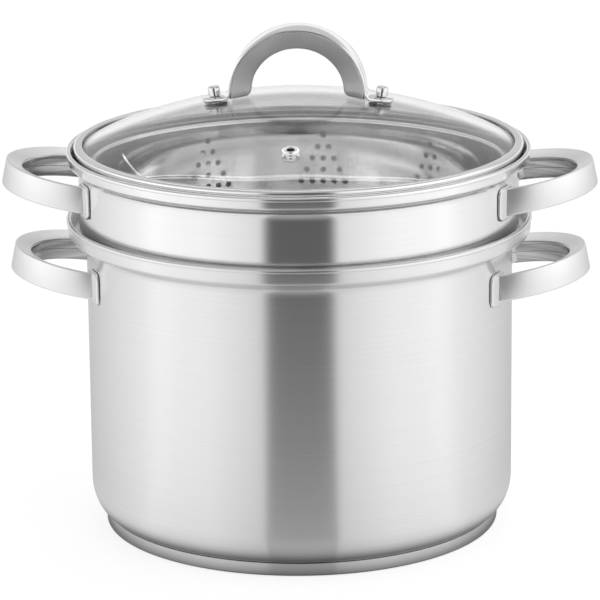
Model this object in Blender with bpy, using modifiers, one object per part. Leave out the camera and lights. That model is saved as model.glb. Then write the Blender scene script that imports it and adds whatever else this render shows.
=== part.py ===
"""Stainless pasta pot with a lift-out strainer insert, a shallow steamer basket and a glass lid.

Metres, +Z up. The origin is the centre of the underside, and the side handles lie along X.
"""

import math

import bmesh
import bpy
from mathutils import Euler, Vector

# Fineness of the turned and swept shapes
RING_SIDES = 36
HOLE_SIDES = 5
SCREW_SIDES = 12
WASHER_SIDES = 16
CORNER_STEPS = 4
BEAD_STEPS = 3
FLARE_STEPS = 3
DOME_STEPS = 6
ROUND_STEPS = 3
LOOP_STEPS = 12
ARCH_STEPS = 14

# Edges sharper than this stay sharp, and points closer than this are one
SHARP_EDGE = math.radians(35)
WELD_DISTANCE = 0.00001

# Fits
GAP = 0.0003
CUT_MARGIN = 0.0040

# Pot: radius of the drawn wall, height to the top of the rim, and its sheet
POT_RADIUS = 0.1200
POT_HEIGHT = 0.1777
POT_SHEET = 0.0010
POT_CORNER_WIDTH = 0.0140
POT_CORNER_HEIGHT = 0.0195

# Rolled bead of both rims, with the angles where it starts and ends, and the curve of their flares
RIM_BEAD_RADIUS = 0.0014
RIM_BEAD_START = 150
RIM_BEAD_END = -30
FLARE_POWER = 1.5

# Rim of the pot, measured out from the wall and down from the rim's top
POT_RIM_REACH = 0.0112
POT_CREASE_REACH = 0.0078
POT_CREASE_DROP = 0.0101
POT_FLARE_DROP = 0.0207

# Bonded base: a steel cup round an aluminium disc
CAP_INSET = 0.0080
CAP_SHEET = 0.0010
CAP_EDGE_CHAMFER = 0.0008
CORE_THICKNESS = 0.0042

# Strainer insert: a plain collar above the pot's rim, and a perforated basket inside the pot
COLLAR_STEP = 0.0037
INSERT_RISE = 0.0387
INSERT_SHEET = 0.0009
INSERT_RIM_REACH = 0.0068
INSERT_CREASE_REACH = 0.0027
INSERT_CREASE_DROP = 0.0082
INSERT_FLARE_DROP = 0.0159
STRAINER_SIDE_CLEARANCE = 0.0025
STRAINER_FLOOR_CLEARANCE = 0.0230
STRAINER_CORNER = 0.0140
STRAINER_HOLE = 0.0050
STRAINER_COLUMNS = 18
STRAINER_FIRST_COLUMN = 0.25
STRAINER_ROWS = 4
STRAINER_ROW_PITCH = 0.0240
STRAINER_FIRST_ROW = 0.0200
STRAINER_FLOOR_PITCH = 0.0450
STRAINER_FLOOR_RINGS = 1

# Steamer basket: a shallow bowl whose flange rests in the insert's rim
BASKET_SIDE_CLEARANCE = 0.0107
BASKET_SHEET = 0.0008
BASKET_DEPTH = 0.0590
BASKET_CORNER_WIDTH = 0.0120
BASKET_CORNER_HEIGHT = 0.0120
BASKET_FLANGE_BEND = 0.0014
BASKET_FLANGE_CLEARANCE = 0.0004
BASKET_HOLE = 0.0027
BASKET_CLUSTERS = 10
BASKET_CLUSTER_TURN = math.radians(4.0)
BASKET_FIRST_ROW = 0.0079
BASKET_ROW_PITCH = 0.0070
BASKET_ROW_SPREAD = 0.0033
BASKET_ROW_COUNTS = (1, 2, 3, 3)
BASKET_FLOOR_PITCH = 0.0400
BASKET_FLOOR_RINGS = 1

# Lid: a glass dome crimped in a steel band
BAND_RIM_CLEARANCE = 0.0045
BAND_FOOT_INSET = 0.0015
BAND_HEIGHT = 0.0097
BAND_CREASE_HEIGHT = 0.0039
BAND_SHEET = 0.0007
BAND_BEAD_RADIUS = 0.0016
BAND_LIP = 0.0050
BAND_TAIL = 0.0075
GLASS_THICKNESS = 0.0040
GLASS_EDGE_CLEARANCE = 0.0010
DOME_RISE = 0.0288

# Lid handle: a strap bent to an arch over a tapered grip, with its turns in degrees
ARCH_RADIUS = 0.0385
ARCH_TOP_ABOVE_DOME = 0.0402
STRAP_THICKNESS = 0.0018
STRAP_WIDTH = 0.0220
GRIP_DEPTH = 0.0117
GRIP_SHOULDER_DEPTH = 0.0030
GRIP_OUTER_WIDTH = 0.0205
GRIP_INNER_WIDTH = 0.0110
GRIP_EDGE_ROUND = 0.0015
GRIP_FOOT_CLEARANCE = 0.0022
FOOT_BEND = 0.0040
FOOT_RADIUS = 0.0075
FOOT_SPREAD = 75
HEEL_TURN = 4
SCREW_OUTSET = 0.0075

# Lid fasteners, each stack square to the glass
SCREW_DIAMETER = 0.0040
SCREW_CLEARANCE = 0.0010
SCREW_HEAD_DIAMETER = 0.0085
SCREW_HEAD_HEIGHT = 0.0022
SCREW_HEAD_ROUND = 0.0014
GASKET_RIM = 0.0040
GASKET_THICKNESS = 0.0006
WASHER_RIM = 0.0035
WASHER_THICKNESS = 0.0010
NUT_WALL = 0.0011
NUT_HEIGHT = 0.0056
NUT_BORE_DEPTH = 0.0040
NUT_ROUND = 0.0014

# Steam vent in the front of the glass
VENT_FROM_EDGE = 0.0387
VENT_OFFSET = 0.0010
VENT_BORE = 0.0042
VENT_WALL = 0.0012
VENT_FLANGE_RIM = 0.0018
VENT_FLANGE_HEIGHT = 0.0020
VENT_FLANGE_EDGE = 0.0011
VENT_TAIL_RIM = 0.0013
VENT_TAIL_HEIGHT = 0.0010

# Side handles, the same pressing on the pot and on the insert, with the turn of their roots in degrees
LOOP_PROJECTION = 0.0433
LOOP_HALF_WIDTH = 0.0460
LOOP_CENTRE_INSET = 0.0057
LOOP_HEIGHT = 0.0155
LOOP_INNER_HEIGHT = 0.0120
LOOP_WIDTH = 0.0105
LOOP_LEAN = 0.0006
LOOP_EDGE_ROUND = 0.0012
LOOP_TILT = math.radians(9.5)
LOOP_ROOT_TURN = 7
LOOP_BELOW_POT_RIM = 0.0312
LOOP_BELOW_INSERT_RIM = 0.0209
TAB_HEIGHT = 0.0187
TAB_WIDTH = 0.0170
TAB_SHEET = 0.0014
TAB_CORNER = 0.0045
TAB_INSET = 0.0012
TAB_DROP = 0.0018

# Sizes that follow from those above
POT_BOTTOM = CAP_SHEET + GAP + CORE_THICKNESS + GAP
POT_FLOOR = POT_BOTTOM + POT_SHEET
CAP_RADIUS = POT_RADIUS - CAP_INSET
COLLAR_RADIUS = POT_RADIUS + COLLAR_STEP
INSERT_TOP = POT_HEIGHT + INSERT_RISE
STRAINER_RADIUS = POT_RADIUS - POT_SHEET - STRAINER_SIDE_CLEARANCE
STRAINER_BOTTOM = POT_FLOOR + STRAINER_FLOOR_CLEARANCE
BASKET_RADIUS = COLLAR_RADIUS - BASKET_SIDE_CLEARANCE
FLANGE_UNDERSIDE = INSERT_TOP - INSERT_CREASE_DROP
LID_SEAT = FLANGE_UNDERSIDE + BASKET_SHEET + GAP
BAND_RADIUS = COLLAR_RADIUS + INSERT_RIM_REACH - BAND_RIM_CLEARANCE
SCREW_HOLE = SCREW_DIAMETER + SCREW_CLEARANCE
SCREW_PLACE = ARCH_RADIUS + SCREW_OUTSET

# Materials: colour, metallic, roughness, transmission
STEEL = ((0.72, 0.72, 0.73), 1.0, 0.28, 0.0)
POLISHED = ((0.80, 0.80, 0.81), 1.0, 0.10, 0.0)
ALUMINIUM = ((0.66, 0.66, 0.67), 1.0, 0.45, 0.0)
GLASS = ((0.95, 0.97, 0.97), 0.0, 0.03, 1.0)
SILICONE = ((0.62, 0.62, 0.62), 0.0, 0.60, 0.0)


def clear_scene():
    for obj in list(bpy.data.objects):
        bpy.data.objects.remove(obj, do_unlink=True)


def new_collection(name):
    made = bpy.data.collections.new(name)
    bpy.context.scene.collection.children.link(made)
    return made


def paint(obj, look):
    """Gives an object its own Principled material."""
    color, metallic, roughness, transmission = look
    made = bpy.data.materials.new(obj.name)
    made.use_nodes = True
    shader = made.node_tree.nodes["Principled BSDF"]
    shader.inputs["Base Color"].default_value = (*color, 1.0)
    shader.inputs["Metallic"].default_value = metallic
    shader.inputs["Roughness"].default_value = roughness
    shader.inputs["Transmission Weight"].default_value = transmission
    obj.data.materials.clear()
    obj.data.materials.append(made)


def add_object(name, mesh, group, parent=None):
    obj = bpy.data.objects.new(name, mesh)
    obj.parent = parent
    group.objects.link(obj)
    return obj


def add_part(name, mesh, look, group, parent=None):
    obj = add_object(name, mesh, group, parent)
    paint(obj, look)
    return obj


def add_cutter(name, mesh, group, parent=None):
    obj = add_object(name, mesh, group, parent)
    obj.hide_render = True
    obj.display_type = "WIRE"
    return obj


def add_boolean(obj, operation, other):
    step = obj.modifiers.new(operation.title(), "BOOLEAN")
    step.operation = operation
    step.solver = "EXACT"
    step.object = other


# Profiles are lists of (radius, height), and run down the outer side from top to bottom


def arc(centre, radii, start, end, steps):
    """Points on an elliptical arc, with the angles in degrees from the +radius direction."""
    points = []
    for step in range(steps + 1):
        angle = math.radians(start + (end - start) * step / steps)
        points.append((centre[0] + radii[0] * math.cos(angle), centre[1] + radii[1] * math.sin(angle)))
    return points


def quarter(centre, width, height, start, steps):
    """A quarter of an ellipse, run clockwise."""
    return arc(centre, (width, height), start, start - 90, steps)


def beside(points, distance):
    """The same open line moved sideways, to its left as it runs for a positive distance."""
    moved = []
    last = len(points) - 1
    for index, point in enumerate(points):
        before = Vector(point) - Vector(points[index - 1]) if index else None
        after = Vector(points[index + 1]) - Vector(point) if index < last else None
        directions = [d.normalized() for d in (before, after) if d is not None]
        normals = [Vector((-d.y, d.x)) for d in directions]
        middle = sum(normals, Vector((0.0, 0.0))).normalized()
        reach = distance / middle.dot(normals[0])
        radius = point[0] + middle.x * reach
        height = point[1] + middle.y * reach
        moved.append((0.0 if point[0] == 0.0 else radius, height))
    return moved


def radius_at(points, height):
    """Radius where a line of points crosses a height."""
    for (r0, z0), (r1, z1) in zip(points, points[1:]):
        if min(z0, z1) <= height <= max(z0, z1) and z0 != z1:
            return r0 + (r1 - r0) * (height - z0) / (z1 - z0)
    return points[-1][0]


def height_at(points, radius):
    """Height where a line of points crosses a radius."""
    for (r0, z0), (r1, z1) in zip(points, points[1:]):
        if min(r0, r1) <= radius <= max(r0, r1) and r0 != r1:
            return z0 + (z1 - z0) * (radius - r0) / (r1 - r0)
    return points[-1][1]


# Meshes


def smooth(mesh):
    mesh.shade_smooth()
    mesh.set_sharp_from_angle(angle=SHARP_EDGE)


def baked(helper):
    """The evaluated mesh of a helper object, which is then removed."""
    bpy.context.view_layer.update()
    graph = bpy.context.evaluated_depsgraph_get()
    made = bpy.data.meshes.new_from_object(helper.evaluated_get(graph))
    made.name = helper.name
    bpy.data.objects.remove(helper, do_unlink=True)
    return made


def turned_mesh(name, profile, sides=RING_SIDES, closed=False):
    """A solid of revolution from its profile, by a Screw modifier."""
    mesh = bpy.data.meshes.new(name)
    count = len(profile)
    edges = [(i, i + 1) for i in range(count - 1)]
    if closed:
        edges.append((count - 1, 0))
    mesh.from_pydata([(r, 0.0, z) for r, z in profile], edges, [])
    helper = bpy.data.objects.new(name, mesh)
    bpy.context.scene.collection.objects.link(helper)
    screw = helper.modifiers.new("Turn", "SCREW")
    screw.axis = "Z"
    screw.angle = math.tau
    screw.steps = sides
    screw.render_steps = sides
    screw.use_merge_vertices = True
    screw.merge_threshold = WELD_DISTANCE
    made = baked(helper)
    smooth(made)
    return made


def welded(mesh):
    """Joins a curve's loose caps to its sides and turns the faces outwards."""
    work = bmesh.new()
    work.from_mesh(mesh)
    bmesh.ops.remove_doubles(work, verts=work.verts, dist=WELD_DISTANCE)
    bmesh.ops.recalc_face_normals(work, faces=work.faces)
    work.to_mesh(mesh)
    work.free()
    smooth(mesh)
    return mesh


def poly_curve(name, points, closed):
    curve = bpy.data.curves.new(name, "CURVE")
    curve.dimensions = "2D"
    spline = curve.splines.new("POLY")
    spline.points.add(len(points) - 1)
    for target, (x, y) in zip(spline.points, points):
        target.co = (x, y, 0.0, 1.0)
    spline.use_cyclic_u = closed
    helper = bpy.data.objects.new(name, curve)
    bpy.context.scene.collection.objects.link(helper)
    return helper


def swept_mesh(name, path, section):
    """A closed section of (across, up) points, swept along a flat path of (x, y) points."""
    profile = poly_curve(name + "_section", section, True)
    rail = poly_curve(name, path, False)
    rail.data.dimensions = "3D"
    rail.data.twist_mode = "Z_UP"
    rail.data.bevel_mode = "OBJECT"
    rail.data.bevel_object = profile
    rail.data.use_fill_caps = True
    made = welded(baked(rail))
    bpy.data.objects.remove(profile, do_unlink=True)
    return made


def slab_mesh(name, outline, thickness):
    """A flat outline with thickness, centred on its own plane."""
    helper = poly_curve(name, outline, True)
    helper.data.fill_mode = "BOTH"
    helper.data.extrude = thickness / 2
    return welded(baked(helper))


def rounded_rectangle(width, height, corner):
    points = []
    for turn, (sx, sy) in enumerate(((1, 1), (-1, 1), (-1, -1), (1, -1))):
        centre = (sx * (width / 2 - corner), sy * (height / 2 - corner))
        points += arc(centre, (corner, corner), 90 * turn, 90 * turn + 90, ROUND_STEPS)
    return points


# Shapes of the drawn vessels


def rim_line(wall, top, reach, crease_reach, crease_drop, flare_drop):
    """Outer line of a rim: a rolled bead, a leaning lip, a crease, and a flare down to the wall."""
    bead_centre = (wall + reach - RIM_BEAD_RADIUS, top - RIM_BEAD_RADIUS)
    line = arc(bead_centre, (RIM_BEAD_RADIUS, RIM_BEAD_RADIUS), RIM_BEAD_START, RIM_BEAD_END, BEAD_STEPS)
    line.append((wall + crease_reach, top - crease_drop))
    for step in range(1, FLARE_STEPS + 1):
        share = 1.0 - step / FLARE_STEPS
        height = top - flare_drop + (flare_drop - crease_drop) * share
        line.append((wall + crease_reach * share**FLARE_POWER, height))
    return line


def below_bead(line):
    return line[BEAD_STEPS + 1 :]


def vessel_profile(outer, sheet):
    """Closes an outer line to a profile whose wall has the sheet's thickness below the bead."""
    inner = beside(below_bead(outer), -sheet)
    return list(reversed(inner)) + outer


def pot_outer_line():
    line = rim_line(
        POT_RADIUS,
        POT_HEIGHT,
        POT_RIM_REACH,
        POT_CREASE_REACH,
        POT_CREASE_DROP,
        POT_FLARE_DROP,
    )
    centre = (POT_RADIUS - POT_CORNER_WIDTH, POT_BOTTOM + POT_CORNER_HEIGHT)
    line += quarter(centre, POT_CORNER_WIDTH, POT_CORNER_HEIGHT, 0, CORNER_STEPS)
    line.append((0.0, POT_BOTTOM))
    return line


def seat_line():
    """The insert's shoulder, which follows the inside of the pot's flare one gap away."""
    flare = beside(below_bead(pot_outer_line()), -(POT_SHEET + GAP))
    top = height_at(flare, COLLAR_RADIUS)
    low = POT_HEIGHT - POT_FLARE_DROP
    middle = (top + low) / 2
    return [
        (COLLAR_RADIUS, top),
        (radius_at(flare, middle), middle),
        (STRAINER_RADIUS, low - STRAINER_SIDE_CLEARANCE),
    ]


def insert_outer_line():
    line = rim_line(
        COLLAR_RADIUS,
        INSERT_TOP,
        INSERT_RIM_REACH,
        INSERT_CREASE_REACH,
        INSERT_CREASE_DROP,
        INSERT_FLARE_DROP,
    )
    line += seat_line()
    centre = (STRAINER_RADIUS - STRAINER_CORNER, STRAINER_BOTTOM + STRAINER_CORNER)
    line += quarter(centre, STRAINER_CORNER, STRAINER_CORNER, 0, CORNER_STEPS - 1)
    line.append((0.0, STRAINER_BOTTOM))
    return line


def bowl_line():
    """Outside of the steamer basket's bowl, from under its flange's bend to the centre of its floor."""
    bottom = FLANGE_UNDERSIDE + BASKET_SHEET - BASKET_DEPTH
    centre = (BASKET_RADIUS - BASKET_CORNER_WIDTH, bottom + BASKET_CORNER_HEIGHT)
    line = [(BASKET_RADIUS, FLANGE_UNDERSIDE - BASKET_FLANGE_BEND)]
    line += quarter(centre, BASKET_CORNER_WIDTH, BASKET_CORNER_HEIGHT, 0, CORNER_STEPS)
    line.append((0.0, bottom))
    return line


def basket_outer_line():
    """Underside of the flange, which ends just inside the insert's rim, then the bowl."""
    rim_inside = beside(below_bead(insert_outer_line()), -INSERT_SHEET)
    edge = radius_at(rim_inside, FLANGE_UNDERSIDE) - BASKET_FLANGE_CLEARANCE
    bend = BASKET_FLANGE_BEND
    line = [(edge, FLANGE_UNDERSIDE)]
    line += arc((BASKET_RADIUS + bend, FLANGE_UNDERSIDE - bend), (bend, bend), 90, 180, 2)[:-1]
    return line + bowl_line()


# Perforations


def point_along(line, distance):
    """Place and direction at a distance along a line."""
    for start, end in zip(line, line[1:]):
        run = Vector(end) - Vector(start)
        if distance <= run.length:
            return Vector(start) + run.normalized() * distance, run.normalized()
        distance -= run.length
    return Vector(line[-1]), run.normalized()


def add_punch(work, place, normal, diameter):
    """One hole's punch, a short prism across the sheet."""
    turn = Vector((0.0, 0.0, 1.0)).rotation_difference(normal).to_matrix().to_4x4()
    turn.translation = place
    bmesh.ops.create_cone(
        work,
        cap_ends=True,
        segments=HOLE_SIDES,
        radius1=diameter / 2,
        radius2=diameter / 2,
        depth=2 * CUT_MARGIN,
        matrix=turn,
    )


def punch_wall(work, line, distance, angle, across, diameter):
    """A punch in a vessel's side: down the line, round the axis, and sideways by an arc length."""
    spot, down = point_along(line, distance)
    turn = angle + across / spot.x
    normal = Vector((-down.y * math.cos(turn), -down.y * math.sin(turn), down.x))
    place = Vector((spot.x * math.cos(turn), spot.x * math.sin(turn), spot.y))
    add_punch(work, place, normal, diameter)


def punch_floor(work, height, pitch, rings, diameter):
    """Rings of punches in a floor, six more on each ring."""
    up = Vector((0.0, 0.0, 1.0))
    add_punch(work, Vector((0.0, 0.0, height)), up, diameter)
    for ring in range(1, rings + 1):
        for index in range(6 * ring):
            angle = math.tau * index / (6 * ring)
            place = Vector((ring * pitch * math.cos(angle), ring * pitch * math.sin(angle), height))
            add_punch(work, place, up, diameter)


def punches_mesh(name, work):
    mesh = bpy.data.meshes.new(name)
    work.to_mesh(mesh)
    work.free()
    return mesh


def basket_punches():
    """Triangles of holes, apex up, round the wall, and rings of holes in the floor."""
    work = bmesh.new()
    line = bowl_line()
    for cluster in range(BASKET_CLUSTERS):
        angle = math.pi / 2 - BASKET_CLUSTER_TURN + math.tau * cluster / BASKET_CLUSTERS
        for row, count in enumerate(BASKET_ROW_COUNTS):
            distance = BASKET_FIRST_ROW + row * BASKET_ROW_PITCH
            for index in range(count):
                share = 2 * index / (count - 1) - 1 if count > 1 else 0.0
                across = share * row * BASKET_ROW_SPREAD
                punch_wall(work, line, distance, angle, across, BASKET_HOLE)
    punch_floor(work, line[-1][1], BASKET_FLOOR_PITCH, BASKET_FLOOR_RINGS, BASKET_HOLE)
    return punches_mesh("basket_punches", work)


def strainer_punches():
    """Staggered rows of holes below the shoulder, and rings of holes in the floor."""
    work = bmesh.new()
    shoulder_foot = seat_line()[-1]
    wall = [p for p in insert_outer_line() if p[1] <= shoulder_foot[1]]
    for row in range(STRAINER_ROWS):
        for column in range(STRAINER_COLUMNS):
            angle = math.tau * (column + STRAINER_FIRST_COLUMN + (row % 2) / 2) / STRAINER_COLUMNS
            distance = STRAINER_FIRST_ROW + row * STRAINER_ROW_PITCH
            punch_wall(work, wall, distance, angle, 0.0, STRAINER_HOLE)
    punch_floor(work, STRAINER_BOTTOM, STRAINER_FLOOR_PITCH, STRAINER_FLOOR_RINGS, STRAINER_HOLE)
    return punches_mesh("strainer_punches", work)


# Pot


def make_pot(parts):
    outer = pot_outer_line()
    add_part("pot_body", turned_mesh("pot_body", vessel_profile(outer, POT_SHEET)), STEEL, parts)

    low = CAP_SHEET + GAP
    high = low + CORE_THICKNESS
    core_radius = CAP_RADIUS - CAP_SHEET - GAP
    core = [(0.0, high), (core_radius, high), (core_radius, low), (0.0, low)]
    add_part("pot_base_core", turned_mesh("pot_base_core", core), ALUMINIUM, parts)

    corner = beside(outer[-(CORNER_STEPS + 2) :], GAP)
    inner_radius = CAP_RADIUS - CAP_SHEET
    cap = [
        (0.0, CAP_SHEET),
        (inner_radius, CAP_SHEET),
        (inner_radius, height_at(corner, inner_radius)),
        (CAP_RADIUS, height_at(corner, CAP_RADIUS)),
        (CAP_RADIUS, CAP_EDGE_CHAMFER),
        (CAP_RADIUS - CAP_EDGE_CHAMFER, 0.0),
        (0.0, 0.0),
    ]
    add_part("pot_base_cap", turned_mesh("pot_base_cap", cap), STEEL, parts)


# Side handles


def loop_section():
    """Closed section of the loop: outer face, top sloping down to the finger gap, and inner face."""
    half = LOOP_HEIGHT / 2
    cut = LOOP_EDGE_ROUND
    return [
        (0.0, -half + cut),
        (-LOOP_LEAN, half - cut),
        (-LOOP_LEAN - cut, half),
        (-LOOP_WIDTH, LOOP_INNER_HEIGHT - half),
        (-LOOP_WIDTH, -half + cut),
        (-LOOP_WIDTH + cut, -half),
        (-cut, -half),
    ]


def wall_stretch(outer, low, high):
    """The part of a vessel's outer line between two heights."""
    inside = [p for p in outer if low < p[1] < high and p[0] > 0.0]
    return [(radius_at(outer, high), high)] + inside + [(radius_at(outer, low), low)]


def wall_plug_mesh(name, line):
    """A solid that fills a vessel to one gap outside its wall."""
    side = beside(line, GAP)
    return turned_mesh(name, [(0.0, side[0][1])] + side + [(0.0, side[-1][1])])


def tab_shell_mesh(name, line):
    """A ring that holds the weld tabs' sheet, and runs on into the wall, where it is cut away."""
    profile = beside(line, GAP + TAB_SHEET) + list(reversed(beside(line, -TAB_SHEET)))
    return turned_mesh(name, profile, closed=True)


def add_tab(name, shell, wall, height, side, cutters, root):
    """One weld tab: a rounded plate that takes the wall's curve."""
    angle = side * math.asin((LOOP_HALF_WIDTH - TAB_INSET) / wall)
    outline = rounded_rectangle(TAB_WIDTH, TAB_HEIGHT, TAB_CORNER)
    tab = add_cutter(name, slab_mesh(name, outline, 2 * CUT_MARGIN), cutters, root)
    tab.rotation_euler = Euler((math.pi / 2, 0.0, math.pi / 2 + angle))
    tab.location = (wall * math.cos(angle), wall * math.sin(angle), height - TAB_DROP)
    add_boolean(tab, "INTERSECT", shell)
    return tab


def make_loops(prefix, outer, wall, height, parts, cutters):
    """The pair of loops that are welded to a vessel."""
    tip = wall + LOOP_PROJECTION
    centre = wall - LOOP_CENTRE_INSET
    end = 90 + LOOP_ROOT_TURN
    path = arc((centre, 0.0), (tip - centre, LOOP_HALF_WIDTH), -end, end, LOOP_STEPS)
    reach = LOOP_HEIGHT + TAB_HEIGHT
    line = wall_stretch(outer, height - reach, height + reach)
    plug = add_cutter(prefix + "_wall_plug", wall_plug_mesh(prefix + "_wall_plug", line), cutters)
    shell = add_cutter(prefix + "_tab_shell", tab_shell_mesh(prefix + "_tab_shell", line), cutters)
    for side, heading in (("right", 0.0), ("left", math.pi)):
        name = prefix + "_handle_" + side
        root = add_object(name + "_root", None, parts)
        root.rotation_euler = (0.0, 0.0, heading)
        loop = add_part(name, swept_mesh(name, path, loop_section()), POLISHED, parts, root)
        loop.location = (wall * (1.0 - math.cos(LOOP_TILT)), 0.0, height - wall * math.sin(LOOP_TILT))
        loop.rotation_euler = (0.0, -LOOP_TILT, 0.0)
        add_boolean(loop, "UNION", add_tab(name + "_tab_near", shell, wall, height, -1, cutters, root))
        add_boolean(loop, "UNION", add_tab(name + "_tab_far", shell, wall, height, 1, cutters, root))
        add_boolean(loop, "DIFFERENCE", plug)


# Strainer insert and steamer basket


def make_insert(parts, cutters):
    mesh = turned_mesh("insert_body", vessel_profile(insert_outer_line(), INSERT_SHEET))
    body = add_part("insert_body", mesh, STEEL, parts)
    add_boolean(body, "DIFFERENCE", add_cutter("strainer_punches", strainer_punches(), cutters))


def make_basket(parts, cutters):
    outer = basket_outer_line()
    profile = list(reversed(beside(outer, -BASKET_SHEET))) + outer
    basket = add_part("steamer_basket", turned_mesh("steamer_basket", profile), STEEL, parts)
    add_boolean(basket, "DIFFERENCE", add_cutter("basket_punches", basket_punches(), cutters))


# Lid


def lip_tip():
    """Where the band's upper lip ends, just above the glass."""
    return BAND_RADIUS - BAND_LIP, LID_SEAT + BAND_HEIGHT - BAND_SHEET - 2 * GAP


def sphere_drop(sphere, radius):
    """How far a sphere has fallen below its top at a radius."""
    return sphere - math.sqrt(sphere**2 - radius**2)


def dome():
    """Radius of the glass's edge, radius of its outer sphere, and the height of its top."""
    edge = BAND_RADIUS - BAND_SHEET - GLASS_EDGE_CLEARANCE
    sphere = (edge**2 + DOME_RISE**2) / (2 * DOME_RISE)
    lip_radius, lip_height = lip_tip()
    return edge, sphere, lip_height - GAP + sphere_drop(sphere, lip_radius)


def glass_top(radius):
    edge, sphere, top = dome()
    return top - sphere_drop(sphere, radius)


def glass_underside(radius):
    edge, sphere, top = dome()
    return top - GLASS_THICKNESS - sphere_drop(sphere - GLASS_THICKNESS, radius)


def seat_under_glass():
    """Depth of the seat below the glass, which allows for the flats of the faceted dome."""
    edge, sphere, top = dome()
    return -GLASS_THICKNESS - GAP - (edge / DOME_STEPS) ** 2 / (8 * sphere)


def glass_normal(x, y):
    edge, sphere, top = dome()
    return Vector((x, y, math.sqrt(sphere**2 - x**2 - y**2))).normalized()


def square_to_glass(name, x, y, group):
    """An empty on the glass's upper side, with its Z axis square to the glass."""
    empty = add_object(name, None, group)
    empty.location = (x, y, glass_top(math.hypot(x, y)))
    empty.rotation_euler = Vector((0.0, 0.0, 1.0)).rotation_difference(glass_normal(x, y)).to_euler()
    return empty


def add_drill(name, diameter, anchor, group):
    """A cylinder that cuts a hole through whatever lies at an anchor on the glass."""
    work = bmesh.new()
    bmesh.ops.create_cone(
        work,
        cap_ends=True,
        segments=SCREW_SIDES,
        radius1=diameter / 2,
        radius2=diameter / 2,
        depth=2 * (GLASS_THICKNESS + CUT_MARGIN),
    )
    return add_cutter(name, punches_mesh(name, work), group, anchor)


def make_glass(parts):
    edge, sphere, top = dome()
    radii = [edge * step / DOME_STEPS for step in range(DOME_STEPS + 1)]
    upper = [(radius, glass_top(radius)) for radius in radii]
    lower = [(radius, glass_underside(radius)) for radius in radii]
    return add_part("lid_glass", turned_mesh("lid_glass", upper + list(reversed(lower))), GLASS, parts)


def make_band(parts):
    """The steel band is a channel that is crimped over and under the edge of the glass."""
    top = LID_SEAT + BAND_HEIGHT
    crease = LID_SEAT + BAND_CREASE_HEIGHT
    sheet = BAND_SHEET
    bead = BAND_BEAD_RADIUS
    foot_radius = BAND_RADIUS - BAND_FOOT_INSET
    tail_radius = BAND_RADIUS - BAND_TAIL
    tail_top = glass_underside(tail_radius) - 2 * GAP
    lip_radius, lip_height = lip_tip()
    outer = [(lip_radius, lip_height), (lip_radius + sheet, top)]
    outer += quarter((BAND_RADIUS - bead, top - bead), bead, bead, 90, 2)
    outer += [(BAND_RADIUS, crease), (foot_radius, LID_SEAT), (tail_radius, tail_top - sheet)]
    inner = [
        (tail_radius, tail_top),
        (foot_radius - sheet / 2, LID_SEAT + sheet),
        (BAND_RADIUS - sheet, crease),
        (BAND_RADIUS - sheet, top - bead),
        (BAND_RADIUS - bead, top - sheet),
        (lip_radius + sheet, top - sheet),
    ]
    add_part("lid_rim_band", turned_mesh("lid_rim_band", outer + inner, closed=True), POLISHED, parts)


def arch_centre():
    return glass_top(0.0) + ARCH_TOP_ABOVE_DOME - ARCH_RADIUS


def strap_outer_line():
    """Outer line of the strap in the XZ plane, from one foot's tip over the arch to the other's."""
    normal = glass_normal(SCREW_PLACE, 0.0)
    foot_top = GASKET_THICKNESS + 2 * GAP + STRAP_THICKNESS
    spot = Vector((SCREW_PLACE, 0.0, glass_top(SCREW_PLACE))) + normal * foot_top
    slope = -normal.x / normal.z
    tip_x = SCREW_PLACE + FOOT_RADIUS
    bend_x = ARCH_RADIUS + FOOT_BEND
    bend_foot = spot.z + slope * (bend_x - SCREW_PLACE)
    bend = quarter((bend_x, bend_foot + FOOT_BEND), FOOT_BEND, FOOT_BEND, -90, 2)
    start = math.degrees(math.asin((bend[-1][1] - arch_centre()) / ARCH_RADIUS)) + HEEL_TURN
    right = [(tip_x, spot.z + slope * (tip_x - SCREW_PLACE))] + bend
    arch = arc((0.0, arch_centre()), (ARCH_RADIUS, ARCH_RADIUS), start, 180 - start, ARCH_STEPS)
    return right + arch + [(-x, z) for x, z in reversed(right)]


def foot_plan():
    """Outline of the strap from above: rounded feet that widen to the arch."""
    end = arc((SCREW_PLACE, 0.0), (FOOT_RADIUS, FOOT_RADIUS), -FOOT_SPREAD, FOOT_SPREAD, 2 * ROUND_STEPS)
    half = STRAP_WIDTH / 2
    right = [(ARCH_RADIUS, -half)] + end + [(ARCH_RADIUS, half)]
    return right + [(-x, -y) for x, y in right]


def grip_section():
    """Closed section of the grip: wide under the strap, narrow at the finger side."""
    wide = GRIP_OUTER_WIDTH / 2
    narrow = GRIP_INNER_WIDTH / 2
    edge = GRIP_EDGE_ROUND
    side = [
        (0.0, wide),
        (-GRIP_SHOULDER_DEPTH, wide),
        (-GRIP_DEPTH + edge, narrow + edge),
        (-GRIP_DEPTH, narrow),
    ]
    return side + [(x, -y) for x, y in reversed(side)]


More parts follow.
